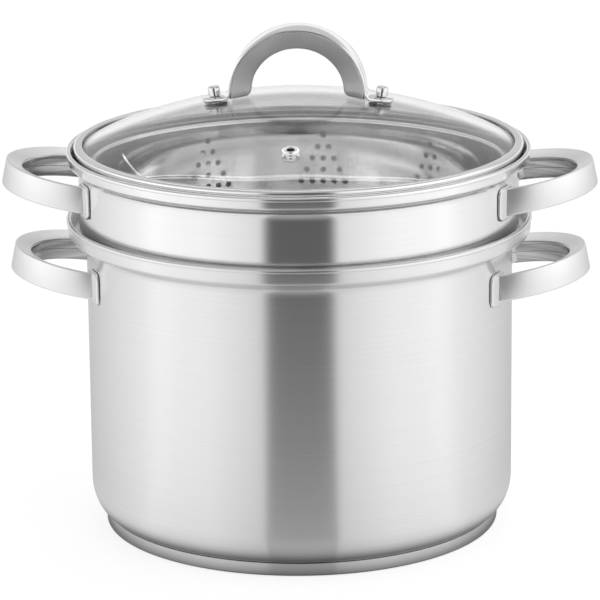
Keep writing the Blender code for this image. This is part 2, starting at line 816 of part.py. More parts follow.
def make_lid_handle(parts, cutters):
    line = strap_outer_line()
    outline = line + list(reversed(beside(line, STRAP_THICKNESS)))
    handle = add_part("lid_handle", slab_mesh("lid_handle", outline, STRAP_WIDTH), POLISHED, parts)
    handle.rotation_euler = (math.pi / 2, 0.0, 0.0)

    plan_height = 2 * (ARCH_RADIUS + ARCH_TOP_ABOVE_DOME)
    plan = add_cutter("foot_plan", slab_mesh("foot_plan", foot_plan(), plan_height), cutters)
    plan.location = (0.0, 0.0, arch_centre())
    add_boolean(handle, "INTERSECT", plan)

    radius = ARCH_RADIUS - STRAP_THICKNESS / 2
    low_end = glass_top(radius) + GRIP_FOOT_CLEARANCE
    start = math.degrees(math.asin((low_end - arch_centre()) / radius))
    path = arc((0.0, 0.0), (radius, radius), start, 180 - start, ARCH_STEPS)
    grip = add_cutter("lid_grip", swept_mesh("lid_grip", path, grip_section()), cutters)
    grip.rotation_euler = (math.pi / 2, 0.0, 0.0)
    grip.location = (0.0, 0.0, arch_centre())
    add_boolean(handle, "UNION", grip)
    return handle


def add_ring(name, rim, foot, thickness, look, parts, anchor):
    """A flat ring round a screw."""
    bore = SCREW_HOLE / 2
    outside = bore + rim
    top = foot + thickness
    profile = [(bore, top), (outside, top), (outside, foot), (bore, foot)]
    add_part(name, turned_mesh(name, profile, WASHER_SIDES, closed=True), look, parts, anchor)


def make_fasteners(side, anchor, parts):
    """The screw, its gaskets and washer, and its cap nut, all square to the glass."""
    upper_foot = GAP
    lower_foot = seat_under_glass() - GASKET_THICKNESS
    washer_foot = lower_foot - GAP - WASHER_THICKNESS
    head_top = washer_foot - GAP
    add_ring("lid_gasket_upper_" + side, GASKET_RIM, upper_foot, GASKET_THICKNESS, SILICONE, parts, anchor)
    add_ring("lid_gasket_lower_" + side, GASKET_RIM, lower_foot, GASKET_THICKNESS, SILICONE, parts, anchor)
    add_ring("lid_washer_" + side, WASHER_RIM, washer_foot, WASHER_THICKNESS, STEEL, parts, anchor)

    nut_foot = GASKET_THICKNESS + 2 * GAP + STRAP_THICKNESS + GAP
    shank = SCREW_DIAMETER / 2
    shank_end = nut_foot + NUT_BORE_DEPTH - 2 * GAP
    head = SCREW_HEAD_DIAMETER / 2
    edge = head_top - SCREW_HEAD_HEIGHT + SCREW_HEAD_ROUND
    screw = [(0.0, shank_end), (shank, shank_end), (shank, head_top), (head, head_top)]
    screw += quarter((0.0, edge), head, SCREW_HEAD_ROUND, 0, ROUND_STEPS)
    screw[-1] = (0.0, screw[-1][1])
    name = "lid_screw_" + side
    add_part(name, turned_mesh(name, screw, SCREW_SIDES), STEEL, parts, anchor)

    bore = shank + GAP
    bore_top = nut_foot + NUT_BORE_DEPTH
    outside = bore + NUT_WALL
    edge = nut_foot + NUT_HEIGHT - NUT_ROUND
    nut = quarter((0.0, edge), outside, NUT_ROUND, 90, ROUND_STEPS)
    nut[0] = (0.0, nut[0][1])
    nut += [(outside, nut_foot), (bore, nut_foot), (bore, bore_top), (0.0, bore_top)]
    name = "lid_cap_nut_" + side
    add_part(name, turned_mesh(name, nut, SCREW_SIDES), POLISHED, parts, anchor)


def make_vent(parts, anchor):
    """A turned eyelet whose flanges close on both sides of the glass."""
    bore = VENT_BORE / 2
    tube = bore + VENT_WALL
    flange = tube + VENT_FLANGE_RIM
    tail = tube + VENT_TAIL_RIM
    under = seat_under_glass()
    profile = [
        (bore, VENT_FLANGE_HEIGHT),
        (tube, VENT_FLANGE_HEIGHT),
        (flange, VENT_FLANGE_EDGE),
        (flange, GAP),
        (tube, GAP),
        (tube, under),
        (tail, under),
        (tail, under - VENT_TAIL_HEIGHT),
        (bore, under - VENT_TAIL_HEIGHT),
    ]
    mesh = turned_mesh("lid_vent_eyelet", profile, WASHER_SIDES, closed=True)
    add_part("lid_vent_eyelet", mesh, POLISHED, parts, anchor)


def make_lid(parts, cutters):
    glass = make_glass(parts)
    make_band(parts)
    handle = make_lid_handle(parts, cutters)
    for side, x in (("right", SCREW_PLACE), ("left", -SCREW_PLACE)):
        anchor = square_to_glass("screw_axis_" + side, x, 0.0, parts)
        drill = add_drill("screw_drill_" + side, SCREW_HOLE, anchor, cutters)
        add_boolean(glass, "DIFFERENCE", drill)
        add_boolean(handle, "DIFFERENCE", drill)
        make_fasteners(side, anchor, parts)
    edge = dome()[0]
    anchor = square_to_glass("vent_axis", VENT_OFFSET, VENT_FROM_EDGE - edge, parts)
    vent_hole = VENT_BORE + 2 * VENT_WALL + 2 * GAP
    add_boolean(glass, "DIFFERENCE", add_drill("vent_drill", vent_hole, anchor, cutters))
    make_vent(parts, anchor)


def main():
    clear_scene()
    parts = new_collection("pasta_pot")
    cutters = new_collection("cutters")
    pot_loop_height = POT_HEIGHT - LOOP_BELOW_POT_RIM
    insert_loop_height = INSERT_TOP - LOOP_BELOW_INSERT_RIM
    make_pot(parts)
    make_loops("pot", pot_outer_line(), POT_RADIUS, pot_loop_height, parts, cutters)
    make_insert(parts, cutters)
    make_loops("insert", insert_outer_line(), COLLAR_RADIUS, insert_loop_height, parts, cutters)
    make_basket(parts, cutters)
    make_lid(parts, cutters)


main()
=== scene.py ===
"""Dresses the pasta pot: finer turned, swept and pierced shapes in the frame's places, and their materials."""
import math

import bmesh
import bpy
import numpy as np
from mathutils import Matrix, Vector


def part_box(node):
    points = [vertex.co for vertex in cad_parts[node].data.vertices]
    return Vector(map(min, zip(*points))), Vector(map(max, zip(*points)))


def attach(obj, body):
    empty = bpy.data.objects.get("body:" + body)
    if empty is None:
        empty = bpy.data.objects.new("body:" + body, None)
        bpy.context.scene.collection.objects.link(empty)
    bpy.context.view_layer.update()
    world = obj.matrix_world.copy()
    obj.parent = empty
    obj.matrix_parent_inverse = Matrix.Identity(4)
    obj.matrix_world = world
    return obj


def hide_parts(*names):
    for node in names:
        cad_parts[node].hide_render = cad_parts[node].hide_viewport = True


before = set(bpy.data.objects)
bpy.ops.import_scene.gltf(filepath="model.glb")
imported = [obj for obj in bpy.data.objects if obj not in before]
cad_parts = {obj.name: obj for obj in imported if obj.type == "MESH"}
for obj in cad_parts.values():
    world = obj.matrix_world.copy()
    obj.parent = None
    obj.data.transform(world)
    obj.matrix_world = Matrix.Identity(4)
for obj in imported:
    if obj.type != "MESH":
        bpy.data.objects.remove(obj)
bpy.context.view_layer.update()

# Fineness of the visible shapes
RING_SIDES = 192
SMALL_SIDES = 64
LOOP_STEPS = 96
ROUND_STEPS = 6
PUNCH_SIDES = 12
PROFILE_PITCH = 0.012
CAP_PITCH = 0.020
SHARP_EDGE = math.radians(35)
WELD_DISTANCE = 0.000001
SAME_SPOT = 0.00001
SAME_WAY = 0.5
FAR = 1.0

# Clearance between pieces that touch, and the usual softening of an edge
GAP = 0.0003
SOFT_EDGE = 0.0003

# What the frame's boxes say
POT_RIM_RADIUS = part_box("pot_body")[1][0]
POT_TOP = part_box("pot_body")[1][2]
POT_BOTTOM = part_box("pot_body")[0][2]
INSERT_RIM_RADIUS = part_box("insert_body")[1][0]
INSERT_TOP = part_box("insert_body")[1][2]
STRAINER_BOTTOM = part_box("insert_body")[0][2]
FLANGE_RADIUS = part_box("steamer_basket")[1][0]
LID_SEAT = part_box("lid_rim_band")[0][2]
BAND_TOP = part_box("lid_rim_band")[1][2]
BAND_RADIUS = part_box("lid_rim_band")[1][0]
DOME_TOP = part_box("lid_glass")[1][2]
HANDLE_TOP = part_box("lid_handle")[1][2]
CAP_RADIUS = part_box("pot_base_cap")[1][0]

# Vessels
POT_RADIUS = 0.1200
POT_SHEET = 0.0010
POT_CORNER = (0.0140, 0.0195)
BEAD_RADIUS = 0.0014
BEAD_TURN = (165, -35)
POT_CREASE = (0.0078, 0.0101)
POT_FLARE_DROP = 0.0207
CAP_SHEET = 0.0010
CAP_EDGE = 0.0009
CAP_CHAMFER = 0.0002
COLLAR_RADIUS = 0.1237
INSERT_SHEET = 0.0009
INSERT_CREASE = (0.0027, 0.0082)
INSERT_FLARE_DROP = 0.0159
POT_FLARE_POWER = 5.0
INSERT_FLARE_POWER = 3.5
CREASE_STEP = 0.0004
CREASE_SHARES = (0.6, 0.3)
LIP_TURN = 0.0024
LIP_STEP = 0.0003
LIP_LEAN = 0.0002
SEAT_STEP = (0.0001, 0.0006)
STRAINER_CLEARANCE = 0.0025
STRAINER_CORNER = (0.0140, 0.0140)
BASKET_RADIUS = 0.1130
BASKET_SHEET = 0.0008
BASKET_DEPTH = 0.0590
BASKET_CORNER = (0.0120, 0.0120)
BASKET_BEND = 0.0014

# Perforations
PUNCH_REACH = 0.0040
BASKET_HOLE = 0.0036
BASKET_CLUSTERS = 10
BASKET_CLUSTER_TURN = math.radians(4.0)
BASKET_FIRST_ROW = 0.0089
BASKET_ROW_PITCH = 0.0070
BASKET_ROW_SPREAD = 0.0033
BASKET_ROW_COUNTS = (1, 2, 3, 3, 5, 5)
BASKET_FLOOR_PITCH = 0.0120
BASKET_FLOOR_RINGS = 5
STRAINER_HOLE = 0.0042
STRAINER_TURN = 0.25
STRAINER_COLUMNS = 36
STRAINER_ROWS = 9
STRAINER_ROW_PITCH = 0.0110
STRAINER_FIRST_ROW = 0.0160
STRAINER_FLOOR_PITCH = 0.0150
STRAINER_FLOOR_RINGS = 5

# Side handles
LOOP_HALF_WIDTH = 0.0460
LOOP_CENTRE_INSET = 0.0057
LOOP_HEIGHT = 0.0155
LOOP_INNER_HEIGHT = 0.0120
LOOP_WIDTH = 0.0105
LOOP_LEAN = 0.0006
LOOP_ROUNDS = (0.0011, 0.0009, 0.0022, 0.0012)
LOOP_SEAM_HEIGHT = -0.0010
LOOP_SEAM = (0.0004, 0.0007)
LOOP_TILT = math.radians(9.5)
LOOP_ROOT_TURN = 7
LOOP_BELOW_POT_RIM = 0.0312
LOOP_BELOW_INSERT_RIM = 0.0209
LOOP_PROJECTION = 0.0433
TAB_HEIGHT = 0.0187
TAB_WIDTH = 0.0184
TAB_SHEET = 0.0014
TAB_CORNER = 0.0045
TAB_EDGE = 0.0012
TAB_INSET = 0.0016
TAB_DROP = 0.0018
TAB_CELLS = 14
TAB_EDGE_SHARES = (0.25, 0.6, 1.0)
# Faces of the loops that face their opening, past this distance from the wall and at least this squarely, get
# painted shade
LOOP_INSIDE_START = 1.5 * TAB_SHEET
LOOP_INSIDE_FACING = 0.7

# Lid
BAND_SHEET = 0.0007
BAND_BEAD = 0.0016
BAND_LIP = 0.0050
BAND_FOOT_INSET = 0.0015
BAND_TAIL = 0.0075
BAND_CREASE_HEIGHT = 0.0039
BAND_CREASE_STEP = (0.0002, 0.0004)
BAND_LIP_RISE = 0.4
BAND_LIP_SHARES = ((0.3, 0.15), (1.6, 0.0))
GLASS_THICKNESS = 0.0040
GLASS_EDGE_CLEARANCE = 0.0010
GLASS_EDGE_ROUND = 0.0012
GLASS_EDGE_TURN = 75
DOME_RISE = 0.0288
DOME_STEPS = 30
ARCH_RADIUS = 0.0385
ARCH_DROP = 0.0012
ARCH_JOINT_TURN = 4
STRAP_THICKNESS = 0.0018
STRAP_WIDTH = 0.0220
STRAP_EDGE = 0.00088
STRAP_TIP = 0.0003
STRAP_SEAM = 0.0002
GRIP_DEPTH = 0.0117
GRIP_OUTER_WIDTH = 0.0205
GRIP_INNER_WIDTH = 0.0110
GRIP_FOOT_CLEARANCE = 0.0022
GRIP_FOOT_ROUND = 0.0034
GRIP_SHOULDER = 0.0010
GRIP_ROUNDS = (0.0, 0.0004, 0.0018, 0.0018, 0.0004, 0.0)
GRIP_DROP_SHARE = 0.6
FOOT_BEND = 0.0040
FOOT_RADIUS = 0.0075
SCREW_PLACE = ARCH_RADIUS + 0.0075
SCREW_DIAMETER = 0.0040
SCREW_HOLE = 0.0050
SCREW_HEAD = (0.0085, 0.0022, 0.0014)
GASKET_RIM = 0.0040
GASKET_THICKNESS = 0.0006
WASHER_RIM = 0.0035
WASHER_THICKNESS = 0.0010
NUT_WALL = 0.0011
NUT_HEIGHT = 0.0056
NUT_BORE_DEPTH = 0.0040
NUT_ROUND = 0.0013
VENT_FROM_EDGE = 0.0387
VENT_OFFSET = 0.0010
VENT_BORE = 0.0042
VENT_WALL = 0.0012
VENT_FLANGE_RIM = 0.0018
VENT_FLANGE_HEIGHT = 0.0016
VENT_RING_HEIGHT = 0.0009
VENT_TAIL_RIM = 0.0013
VENT_TAIL_HEIGHT = 0.0010
VENT_MOUTH_ROUND = 0.0007
VENT_RING_INSET = 0.0015
VENT_TAIL_EDGE = (0.0004, 0.6)
DRILL_REACH = 0.0080

# Camera of the photograph, fitted to the ellipses of the rims
CAMERA_DISTANCE = 1.910
CAMERA_HEIGHT = 0.642
CAMERA_PITCH = math.radians(15.12)
CAMERA_ROLL = math.radians(-0.573)
CAMERA_AZIMUTH = math.radians(3.5)
CAMERA_LENS = 209.28

# Heights and radii that follow from those above
POT_RIM = (POT_RADIUS, POT_TOP, POT_RIM_RADIUS, POT_CREASE, POT_FLARE_DROP, POT_FLARE_POWER)
INSERT_FLARE = (INSERT_FLARE_DROP, INSERT_FLARE_POWER)
INSERT_RIM = (COLLAR_RADIUS, INSERT_TOP, INSERT_RIM_RADIUS, INSERT_CREASE, *INSERT_FLARE)
STRAINER_RADIUS = POT_RADIUS - POT_SHEET - STRAINER_CLEARANCE
FLANGE_UNDERSIDE = INSERT_TOP - INSERT_CREASE[1]
GLASS_EDGE = BAND_RADIUS - BAND_SHEET - GLASS_EDGE_CLEARANCE
DOME_SPHERE = (GLASS_EDGE**2 + DOME_RISE**2) / (2 * DOME_RISE)
ARCH_CENTRE = HANDLE_TOP - ARCH_RADIUS
STRAP_FOOT = GASKET_THICKNESS + 2 * GAP


# Lines of (radius, height) points, which run down the outer side from top to bottom


def arc(centre, radii, start, end, steps=ROUND_STEPS):
    """Points on an elliptical arc, with the angles in degrees from the +radius direction."""
    turns = [math.radians(start + (end - start) * step / steps) for step in range(steps + 1)]
    return [(centre[0] + radii[0] * math.cos(t), centre[1] + radii[1] * math.sin(t)) for t in turns]


def quarter(centre, width, height, start, steps=ROUND_STEPS):
    """A quarter of an ellipse, run clockwise."""
    return arc(centre, (width, height), start, start - 90, steps)


def beside(points, distance):
    """The same open line moved sideways, to its left as it runs for a positive distance."""
    line = np.array(points)
    runs = np.diff(line, axis=0)
    runs /= np.linalg.norm(runs, axis=1)[:, None]
    normals = np.stack([-runs[:, 1], runs[:, 0]], axis=1)
    before = np.vstack([normals[:1], normals])
    after = np.vstack([normals, normals[-1:]])
    middle = before + after
    middle /= np.linalg.norm(middle, axis=1)[:, None]
    reach = distance / np.maximum((middle * before).sum(axis=1), 0.4)
    moved = line + middle * reach[:, None]
    moved[line[:, 0] == 0.0, 0] = 0.0
    return [tuple(point) for point in moved.tolist()]


def radius_at(points, height):
    """Radius where a line of points crosses a height."""
    for (r0, z0), (r1, z1) in zip(points, points[1:]):
        if min(z0, z1) <= height <= max(z0, z1) and z0 != z1:
            return r0 + (r1 - r0) * (height - z0) / (z1 - z0)
    return points[-1][0]


def height_at(points, radius):
    """Height where a line of points crosses a radius."""
    return radius_at([(height, reach) for reach, height in points], radius)


def spaced(points, pitch):
    """The same line with more points, no further apart than a pitch."""
    line = [points[0]]
    for start, end in zip(points, points[1:]):
        count = max(1, math.ceil(math.dist(start, end) / pitch))
        for step in range(1, count + 1):
            share = step / count
            line.append((start[0] + (end[0] - start[0]) * share, start[1] + (end[1] - start[1]) * share))
    return line


def rim_line(wall, top, rim, crease, flare_drop, power, upright):
    """Outer line of a rim: a rolled bead, an upright lip, a crease, and a flare down to the wall."""
    bead_centre = (rim - BEAD_RADIUS, top - BEAD_RADIUS)
    bead = arc(bead_centre, (BEAD_RADIUS, BEAD_RADIUS), *BEAD_TURN, 4 * ROUND_STEPS)
    crease_radius = wall + crease[0]
    crease_height = top - crease[1]
    lip_radius = bead[-1][0] - LIP_STEP
    lip_foot = crease_height + CREASE_STEP
    lip = [(lip_radius, bead[-1][1] - LIP_STEP)]
    if upright:
        turn_width = lip_radius - LIP_LEAN - crease_radius - CREASE_STEP
        lip += quarter((crease_radius + CREASE_STEP, lip_foot + LIP_TURN), turn_width, LIP_TURN, 0)[:-1]
    else:
        lip.append((crease_radius + CREASE_STEP, lip_foot))
    lip.append((crease_radius + CREASE_SHARES[0] * CREASE_STEP, crease_height))
    lip.append((crease_radius, crease_height - CREASE_SHARES[1] * CREASE_STEP))
    flare = []
    steps = 2 * ROUND_STEPS
    for step in range(1, steps + 1):
        share = 1.0 - step / steps
        height = top - flare_drop + (flare_drop - crease[1] - CREASE_STEP) * share
        flare.append((wall + crease[0] * share**power, height))
    return bead, lip + flare


def vessel_profile(lines, sheet):
    """Closes a vessel's lines to a profile with the sheet's thickness, and more behind the upright lip."""
    bead, outer = lines(True)
    inner = beside(lines(False)[1], -sheet)
    return list(reversed(inner)) + bead + outer


def floor_line(radius, bottom, corner, steps):
    """The rounded corner under a wall, and the floor as far as the axis."""
    return quarter((radius - corner[0], bottom + corner[1]), *corner, 0, steps) + [(0.0, bottom)]


def pot_lines(upright):
    """The pot's bead and its outer line from there to the centre of its floor."""
    bead, outer = rim_line(*POT_RIM, upright)
    return bead, outer + floor_line(POT_RADIUS, POT_BOTTOM, POT_CORNER, 3 * ROUND_STEPS)


def seat_line(pot_outer):
    """The insert's shoulder, which follows the inside of the pot's flare one gap away."""
    flare = beside(pot_outer, -(POT_SHEET + GAP))
    top = height_at(flare, COLLAR_RADIUS)
    low = POT_TOP - POT_FLARE_DROP
    line = [(COLLAR_RADIUS, top + SEAT_STEP[1]), (COLLAR_RADIUS - SEAT_STEP[0], top)]
    for step in range(1, ROUND_STEPS):
        height = top + (low - top) * step / ROUND_STEPS
        line.append((radius_at(flare, height), height))
    line.append((STRAINER_RADIUS, low - STRAINER_CLEARANCE))
    return line


def insert_lines(upright):
    """The same for the strainer insert, with the shoulder that it hangs on."""
    bead, outer = rim_line(*INSERT_RIM, upright)
    outer += seat_line(pot_lines(False)[1])
    return bead, outer + floor_line(STRAINER_RADIUS, STRAINER_BOTTOM, STRAINER_CORNER, 2 * ROUND_STEPS)


def bowl_line():
    """Outside of the steamer basket's bowl, from under its flange's bend to the centre of its floor."""
    bottom = FLANGE_UNDERSIDE + BASKET_SHEET - BASKET_DEPTH
    top = (BASKET_RADIUS, FLANGE_UNDERSIDE - BASKET_BEND)
    return [top] + floor_line(BASKET_RADIUS, bottom, BASKET_CORNER, 4 * ROUND_STEPS)


# Meshes

UP = Vector((0.0, 0.0, 1.0))


def new_mesh(name, verts, faces):
    mesh = bpy.data.meshes.new(name)
    mesh.from_pydata([tuple(v) for v in verts], [], faces)
    mesh.validate()
    return mesh


def new_object(name, data):
    made = bpy.data.objects.new(name, data)
    bpy.context.scene.collection.objects.link(made)
    return made


def round_axis(radius, turn, height):
    """The place at a radius and a turn round the Z axis."""
    return Vector((radius * math.cos(turn), radius * math.sin(turn), height))


def square_to(normal, place):
    """Matrix that turns Z to a normal and moves to a place."""
    matrix = UP.rotation_difference(normal).to_matrix().to_4x4()
    matrix.translation = place
    return matrix


def turned(name, profile, sides=RING_SIDES, closed=False):
    """A solid of revolution. The profile's points lie at each side of every edge of the mesh."""
    turns = [math.tau * side / sides for side in range(sides)]
    verts = []
    rings = []
    for radius, height in profile:
        if radius <= WELD_DISTANCE:
            rings.append([len(verts)] * sides)
            verts.append((0.0, 0.0, height))
        else:
            rings.append(list(range(len(verts), len(verts) + sides)))
            verts += [round_axis(radius, turn, height) for turn in turns]
    pairs = list(zip(rings, rings[1:]))
    if closed:
        pairs.append((rings[-1], rings[0]))
    faces = []
    for upper, lower in pairs:
        for side in range(sides):
            after = (side + 1) % sides
            corners = (upper[side], lower[side], lower[after], upper[after])
            face = list(dict.fromkeys(corners))
            if len(face) > 2:
                faces.append(face)
    return new_mesh(name, verts, faces)


def lofted(name, rings):
    """A closed skin over rings of points, with a fan on each end."""
    count = len(rings[0])
    verts = [point for ring in rings for point in ring]
    faces = []
    for ring in range(len(rings) - 1):
        low = ring * count
        high = low + count
        for index in range(count):
            after = (index + 1) % count
            faces.append((low + index, low + after, high + after, high + index))
    for ring, order in ((0, -1), (len(rings) - 1, 1)):
        centre = len(verts)
        verts.append(np.mean(rings[ring], axis=0))
        first = ring * count
        for index in range(count):
            pair = (first + index, first + (index + 1) % count)[::order]
            faces.append((*pair, centre))
    return new_mesh(name, verts, faces)


def smooth(mesh):
    mesh.shade_smooth()
    mesh.set_sharp_from_angle(angle=SHARP_EDGE)


def outward(mesh):
    work = bmesh.new()
    work.from_mesh(mesh)
    bmesh.ops.remove_doubles(work, verts=work.verts, dist=WELD_DISTANCE)
    bmesh.ops.recalc_face_normals(work, faces=work.faces)
    work.to_mesh(mesh)
    work.free()
    return mesh


def combined(mesh, operation, *others):
    """The mesh after Booleans with other meshes, which are used up."""
    body = new_object(mesh.name, mesh)
    tools = [new_object(other.name, other) for other in others]
    for tool in tools:
        step = body.modifiers.new("cut", "BOOLEAN")
        step.operation = operation
        step.solver = "EXACT"
        step.object = tool
    graph = bpy.context.evaluated_depsgraph_get()
    made = bpy.data.meshes.new_from_object(body.evaluated_get(graph))
    made.name = mesh.name
    for helper in (body, *tools):
        bpy.data.objects.remove(helper, do_unlink=True)
    return outward(made)


def read(items, attribute, width=1, kind=float):
    """One attribute of all of a mesh's vertices, corners or faces."""
    values = np.empty(len(items) * width, dtype=kind)
    items.foreach_get(attribute, values)
    return values.reshape(-1, width) if width > 1 else values


def turned_normals(mesh, profile):
    """Gives a pierced turned mesh the smooth normals of its uncut profile."""
    line = np.array(profile)
    line = line[np.append(True, np.linalg.norm(np.diff(line, axis=0), axis=1) > WELD_DISTANCE)]
    runs = np.diff(line, axis=0)
    lengths = np.linalg.norm(runs, axis=1)
    flat = np.stack([-runs[:, 1], runs[:, 0]], axis=1) / lengths[:, None]
    before = np.vstack([flat[:1], flat[:-1]])
    after = np.vstack([flat[1:], flat[-1:]])
    limit = math.cos(SHARP_EDGE)
    starts = np.where(((flat * before).sum(axis=1) > limit)[:, None], flat + before, flat)
    ends = np.where(((flat * after).sum(axis=1) > limit)[:, None], flat + after, flat)

    face = np.repeat(read(mesh.polygons, "normal", 3), read(mesh.polygons, "loop_total", kind=int), axis=0)
    place = read(mesh.vertices, "co", 3)[read(mesh.loops, "vertex_index", kind=int)]
    radius = np.maximum(np.linalg.norm(place[:, :2], axis=1), WELD_DISTANCE)
    spoke = place[:, :2] / radius[:, None]
    flat_face = np.stack([(face[:, :2] * spoke).sum(axis=1), face[:, 2]], axis=1)

    best = np.full(len(place), np.inf)
    found = np.zeros((len(place), 2))
    spot = np.stack([radius, place[:, 2]], axis=1)
    for index in range(len(runs)):
        offset = spot - line[index]
        share = np.clip((offset @ runs[index]) / lengths[index] ** 2, 0.0, 1.0)
        gap = np.linalg.norm(offset - share[:, None] * runs[index], axis=1)
        normal = starts[index] * (1 - share[:, None]) + ends[index] * share[:, None]
        normal /= np.linalg.norm(normal, axis=1)[:, None]
        likeness = flat_face @ flat[index]
        gap = gap + np.where(likeness < SAME_WAY, FAR, SAME_SPOT * (1.0 - likeness))
        closer = gap < best
        best[closer] = gap[closer]
        found[closer] = normal[closer]
    turned_face = np.column_stack([found[:, 0:1] * spoke, found[:, 1]])
    along = (turned_face * face).sum(axis=1)
    chosen = np.where((best < FAR)[:, None] & (along > SAME_WAY)[:, None], turned_face, face)
    mesh.shade_smooth()
    mesh.normals_split_custom_set(chosen.tolist())


# Pieces


def add_piece(name, mesh, body, material, slot_name, *nodes, shade=True):
    """Puts a mesh in the scene in place of the frame's nodes."""
    if shade:
        smooth(mesh)
    piece = new_object(name, mesh)
    mesh.materials.clear()
    mesh.materials.append(material)
    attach(piece, body)
    if nodes:
        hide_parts(*nodes)


def add_turned(name, profile, cutters, *how):
    """Adds a turned piece with its holes cut, shaded as its uncut profile."""
    mesh = turned(name, profile)
    if cutters:
        mesh = combined(mesh, "DIFFERENCE", *cutters)
    turned_normals(mesh, profile)
    add_piece(name, mesh, *how, shade=False)


# Materials

# Range that most of a noise's values lie in
NOISE_RANGE = (0.3, 0.7)

# Stretch of a noise along X, Y and Z. A high last value makes fine lines round the axis.
EVEN = (1.0, 1.0, 1.0)
BRUSH_LINES = (2.0, 2.0, 2600.0)
ROLL_LINES = (3.0, 3.0, 1500.0)
# Streaks of the painted shade inside the loops
SHADE_STREAKS = (5.0, 5.0, 380.0)

# The pot's wall has painted shade at its foot, darker towards the floor: the heights between which it
# brightens, and the tone's share below them
BODY_FOOT_SHADE = (0.007, 0.022, 0.80)
CLOUD_SHARE = 0.25
SATIN_UNEVEN = 0.03
POLISH_UNEVEN = 0.02
QUARTER_TURN = 0.25
GLASS_COLOUR = (0.995, 0.999, 0.998, 1.0)


class Nodes:
    """A short hand for a node tree. A value is a number or the output of another node."""

    def __init__(self, tree):
        self.tree = tree

    def add(self, kind, **values):
        node = self.tree.nodes.new(kind)
        for key, value in values.items():
            setattr(node, key, value)
        return node

    def join(self, value, socket):
        if isinstance(value, (int, float)):
            socket.default_value = value
        else:
            self.tree.links.new(value, socket)

    def math(self, operation, *values):
        node = self.add("ShaderNodeMath", operation=operation)
        for value, socket in zip(values, node.inputs):
            self.join(value, socket)
        return node.outputs[0]

    def spread(self, value, low, high, to_low, to_high, kind="LINEAR"):
        """Maps a value from one range to another, and holds it there."""
        node = self.add("ShaderNodeMapRange", interpolation_type=kind)
        keys = ("Value", "From Min", "From Max", "To Min", "To Max")
        for key, number in zip(keys, (value, low, high, to_low, to_high)):
            self.join(number, node.inputs[key])
        return node.outputs["Result"]

    def mixed(self, share, first, second):
        node = self.add("ShaderNodeMix", data_type="FLOAT")
        for index, value in ((0, share), (2, first), (3, second)):
            self.join(value, node.inputs[index])
        return node.outputs[0]

    def stretched(self, scale):
        """Object coordinates scaled apart in X, Y and Z."""
        place = self.add("ShaderNodeTexCoord")
        node = self.add("ShaderNodeMapping")
        node.inputs["Scale"].default_value = scale
        self.join(place.outputs["Object"], node.inputs["Vector"])
        return node.outputs["Vector"]

    def noise(self, scale, detail=3.0, roughness=0.5, stretch=EVEN):
        node = self.add("ShaderNodeTexNoise")
        keys = ("Vector", "Scale", "Detail", "Roughness")
        for key, value in zip(keys, (self.stretched(stretch), scale, detail, roughness)):
            self.join(value, node.inputs[key])
        return node.outputs["Fac"]

    def bump(self, shader, height, strength, distance):
        node = self.add("ShaderNodeBump")
        for key, value in (("Height", height), ("Strength", strength), ("Distance", distance)):
            self.join(value, node.inputs[key])
        self.join(node.outputs[0], shader.inputs["Normal"])


def new_material(name, metallic=0.0):
    material = bpy.data.materials.new(name)
    material.use_nodes = True
    shader = material.node_tree.nodes["Principled BSDF"]
    shader.inputs["Metallic"].default_value = metallic
    return material, Nodes(material.node_tree), shader


def uneven(nodes, shader, noise, tones, roughnesses, share=1.0):
    """Lets a grey, dimmed to a share, and the roughness follow a noise between two values each."""
    tone = nodes.math("MULTIPLY", nodes.spread(noise, *NOISE_RANGE, *tones), share)
    colour = nodes.add("ShaderNodeCombineColor")
    for socket in colour.inputs:
        nodes.join(tone, socket)
    nodes.join(colour.outputs[0], shader.inputs["Base Color"])
    nodes.join(nodes.spread(noise, *NOISE_RANGE, *roughnesses), shader.inputs["Roughness"])


def around(middle, reach):
    return middle - reach, middle + reach


def satin_steel(name, tone, roughness, spread, anisotropy, foot=None):
    """Steel with fine brush lines round the axis, and highlights stretched across them; a foot adds painted
    shade that darkens it towards the bottom.
    """
    material, nodes, shader = new_material(name, 1.0)
    brush = nodes.noise(1.0, 4.0, 0.6, BRUSH_LINES)
    mixed = nodes.mixed(CLOUD_SHARE, brush, nodes.noise(14.0))
    share = 1.0
    # Painted shade: below the foot's heights the tone is dimmed, darker towards the floor
    if foot:
        place = nodes.add("ShaderNodeSeparateXYZ")
        nodes.join(nodes.stretched(EVEN), place.inputs[0])
        share = nodes.spread(place.outputs["Z"], *foot, 1.0)
    uneven(nodes, shader, mixed, around(tone, SATIN_UNEVEN), around(roughness, spread), share)
    shader.inputs["Anisotropic"].default_value = anisotropy
    shader.inputs["Anisotropic Rotation"].default_value = QUARTER_TURN
    tangent = nodes.add("ShaderNodeTangent", direction_type="RADIAL", axis="Z")
    nodes.join(tangent.outputs[0], shader.inputs["Tangent"])
    nodes.bump(shader, brush, strength=0.04, distance=0.0001)
    return material


def polished_steel(name, tone, roughness, spread, grains=0.2):
    """Steel with a mirror polish, a little smeared and uneven."""
    material, nodes, shader = new_material(name, 1.0)
    cloud = nodes.noise(45.0)
    mixed = nodes.mixed(grains, cloud, nodes.noise(900.0, 2.0))
    uneven(nodes, shader, mixed, around(tone, POLISH_UNEVEN), around(roughness, spread))
    nodes.bump(shader, cloud, strength=0.05, distance=0.0002)
    return material


def shade_streaked_steel(name, tones, roughnesses):
    """Steel with level dark streaks: painted shade and painted dark reflections."""
    material, nodes, shader = new_material(name, 1.0)
    uneven(nodes, shader, nodes.noise(1.0, 2.0, stretch=SHADE_STREAKS), tones, roughnesses)
    return material


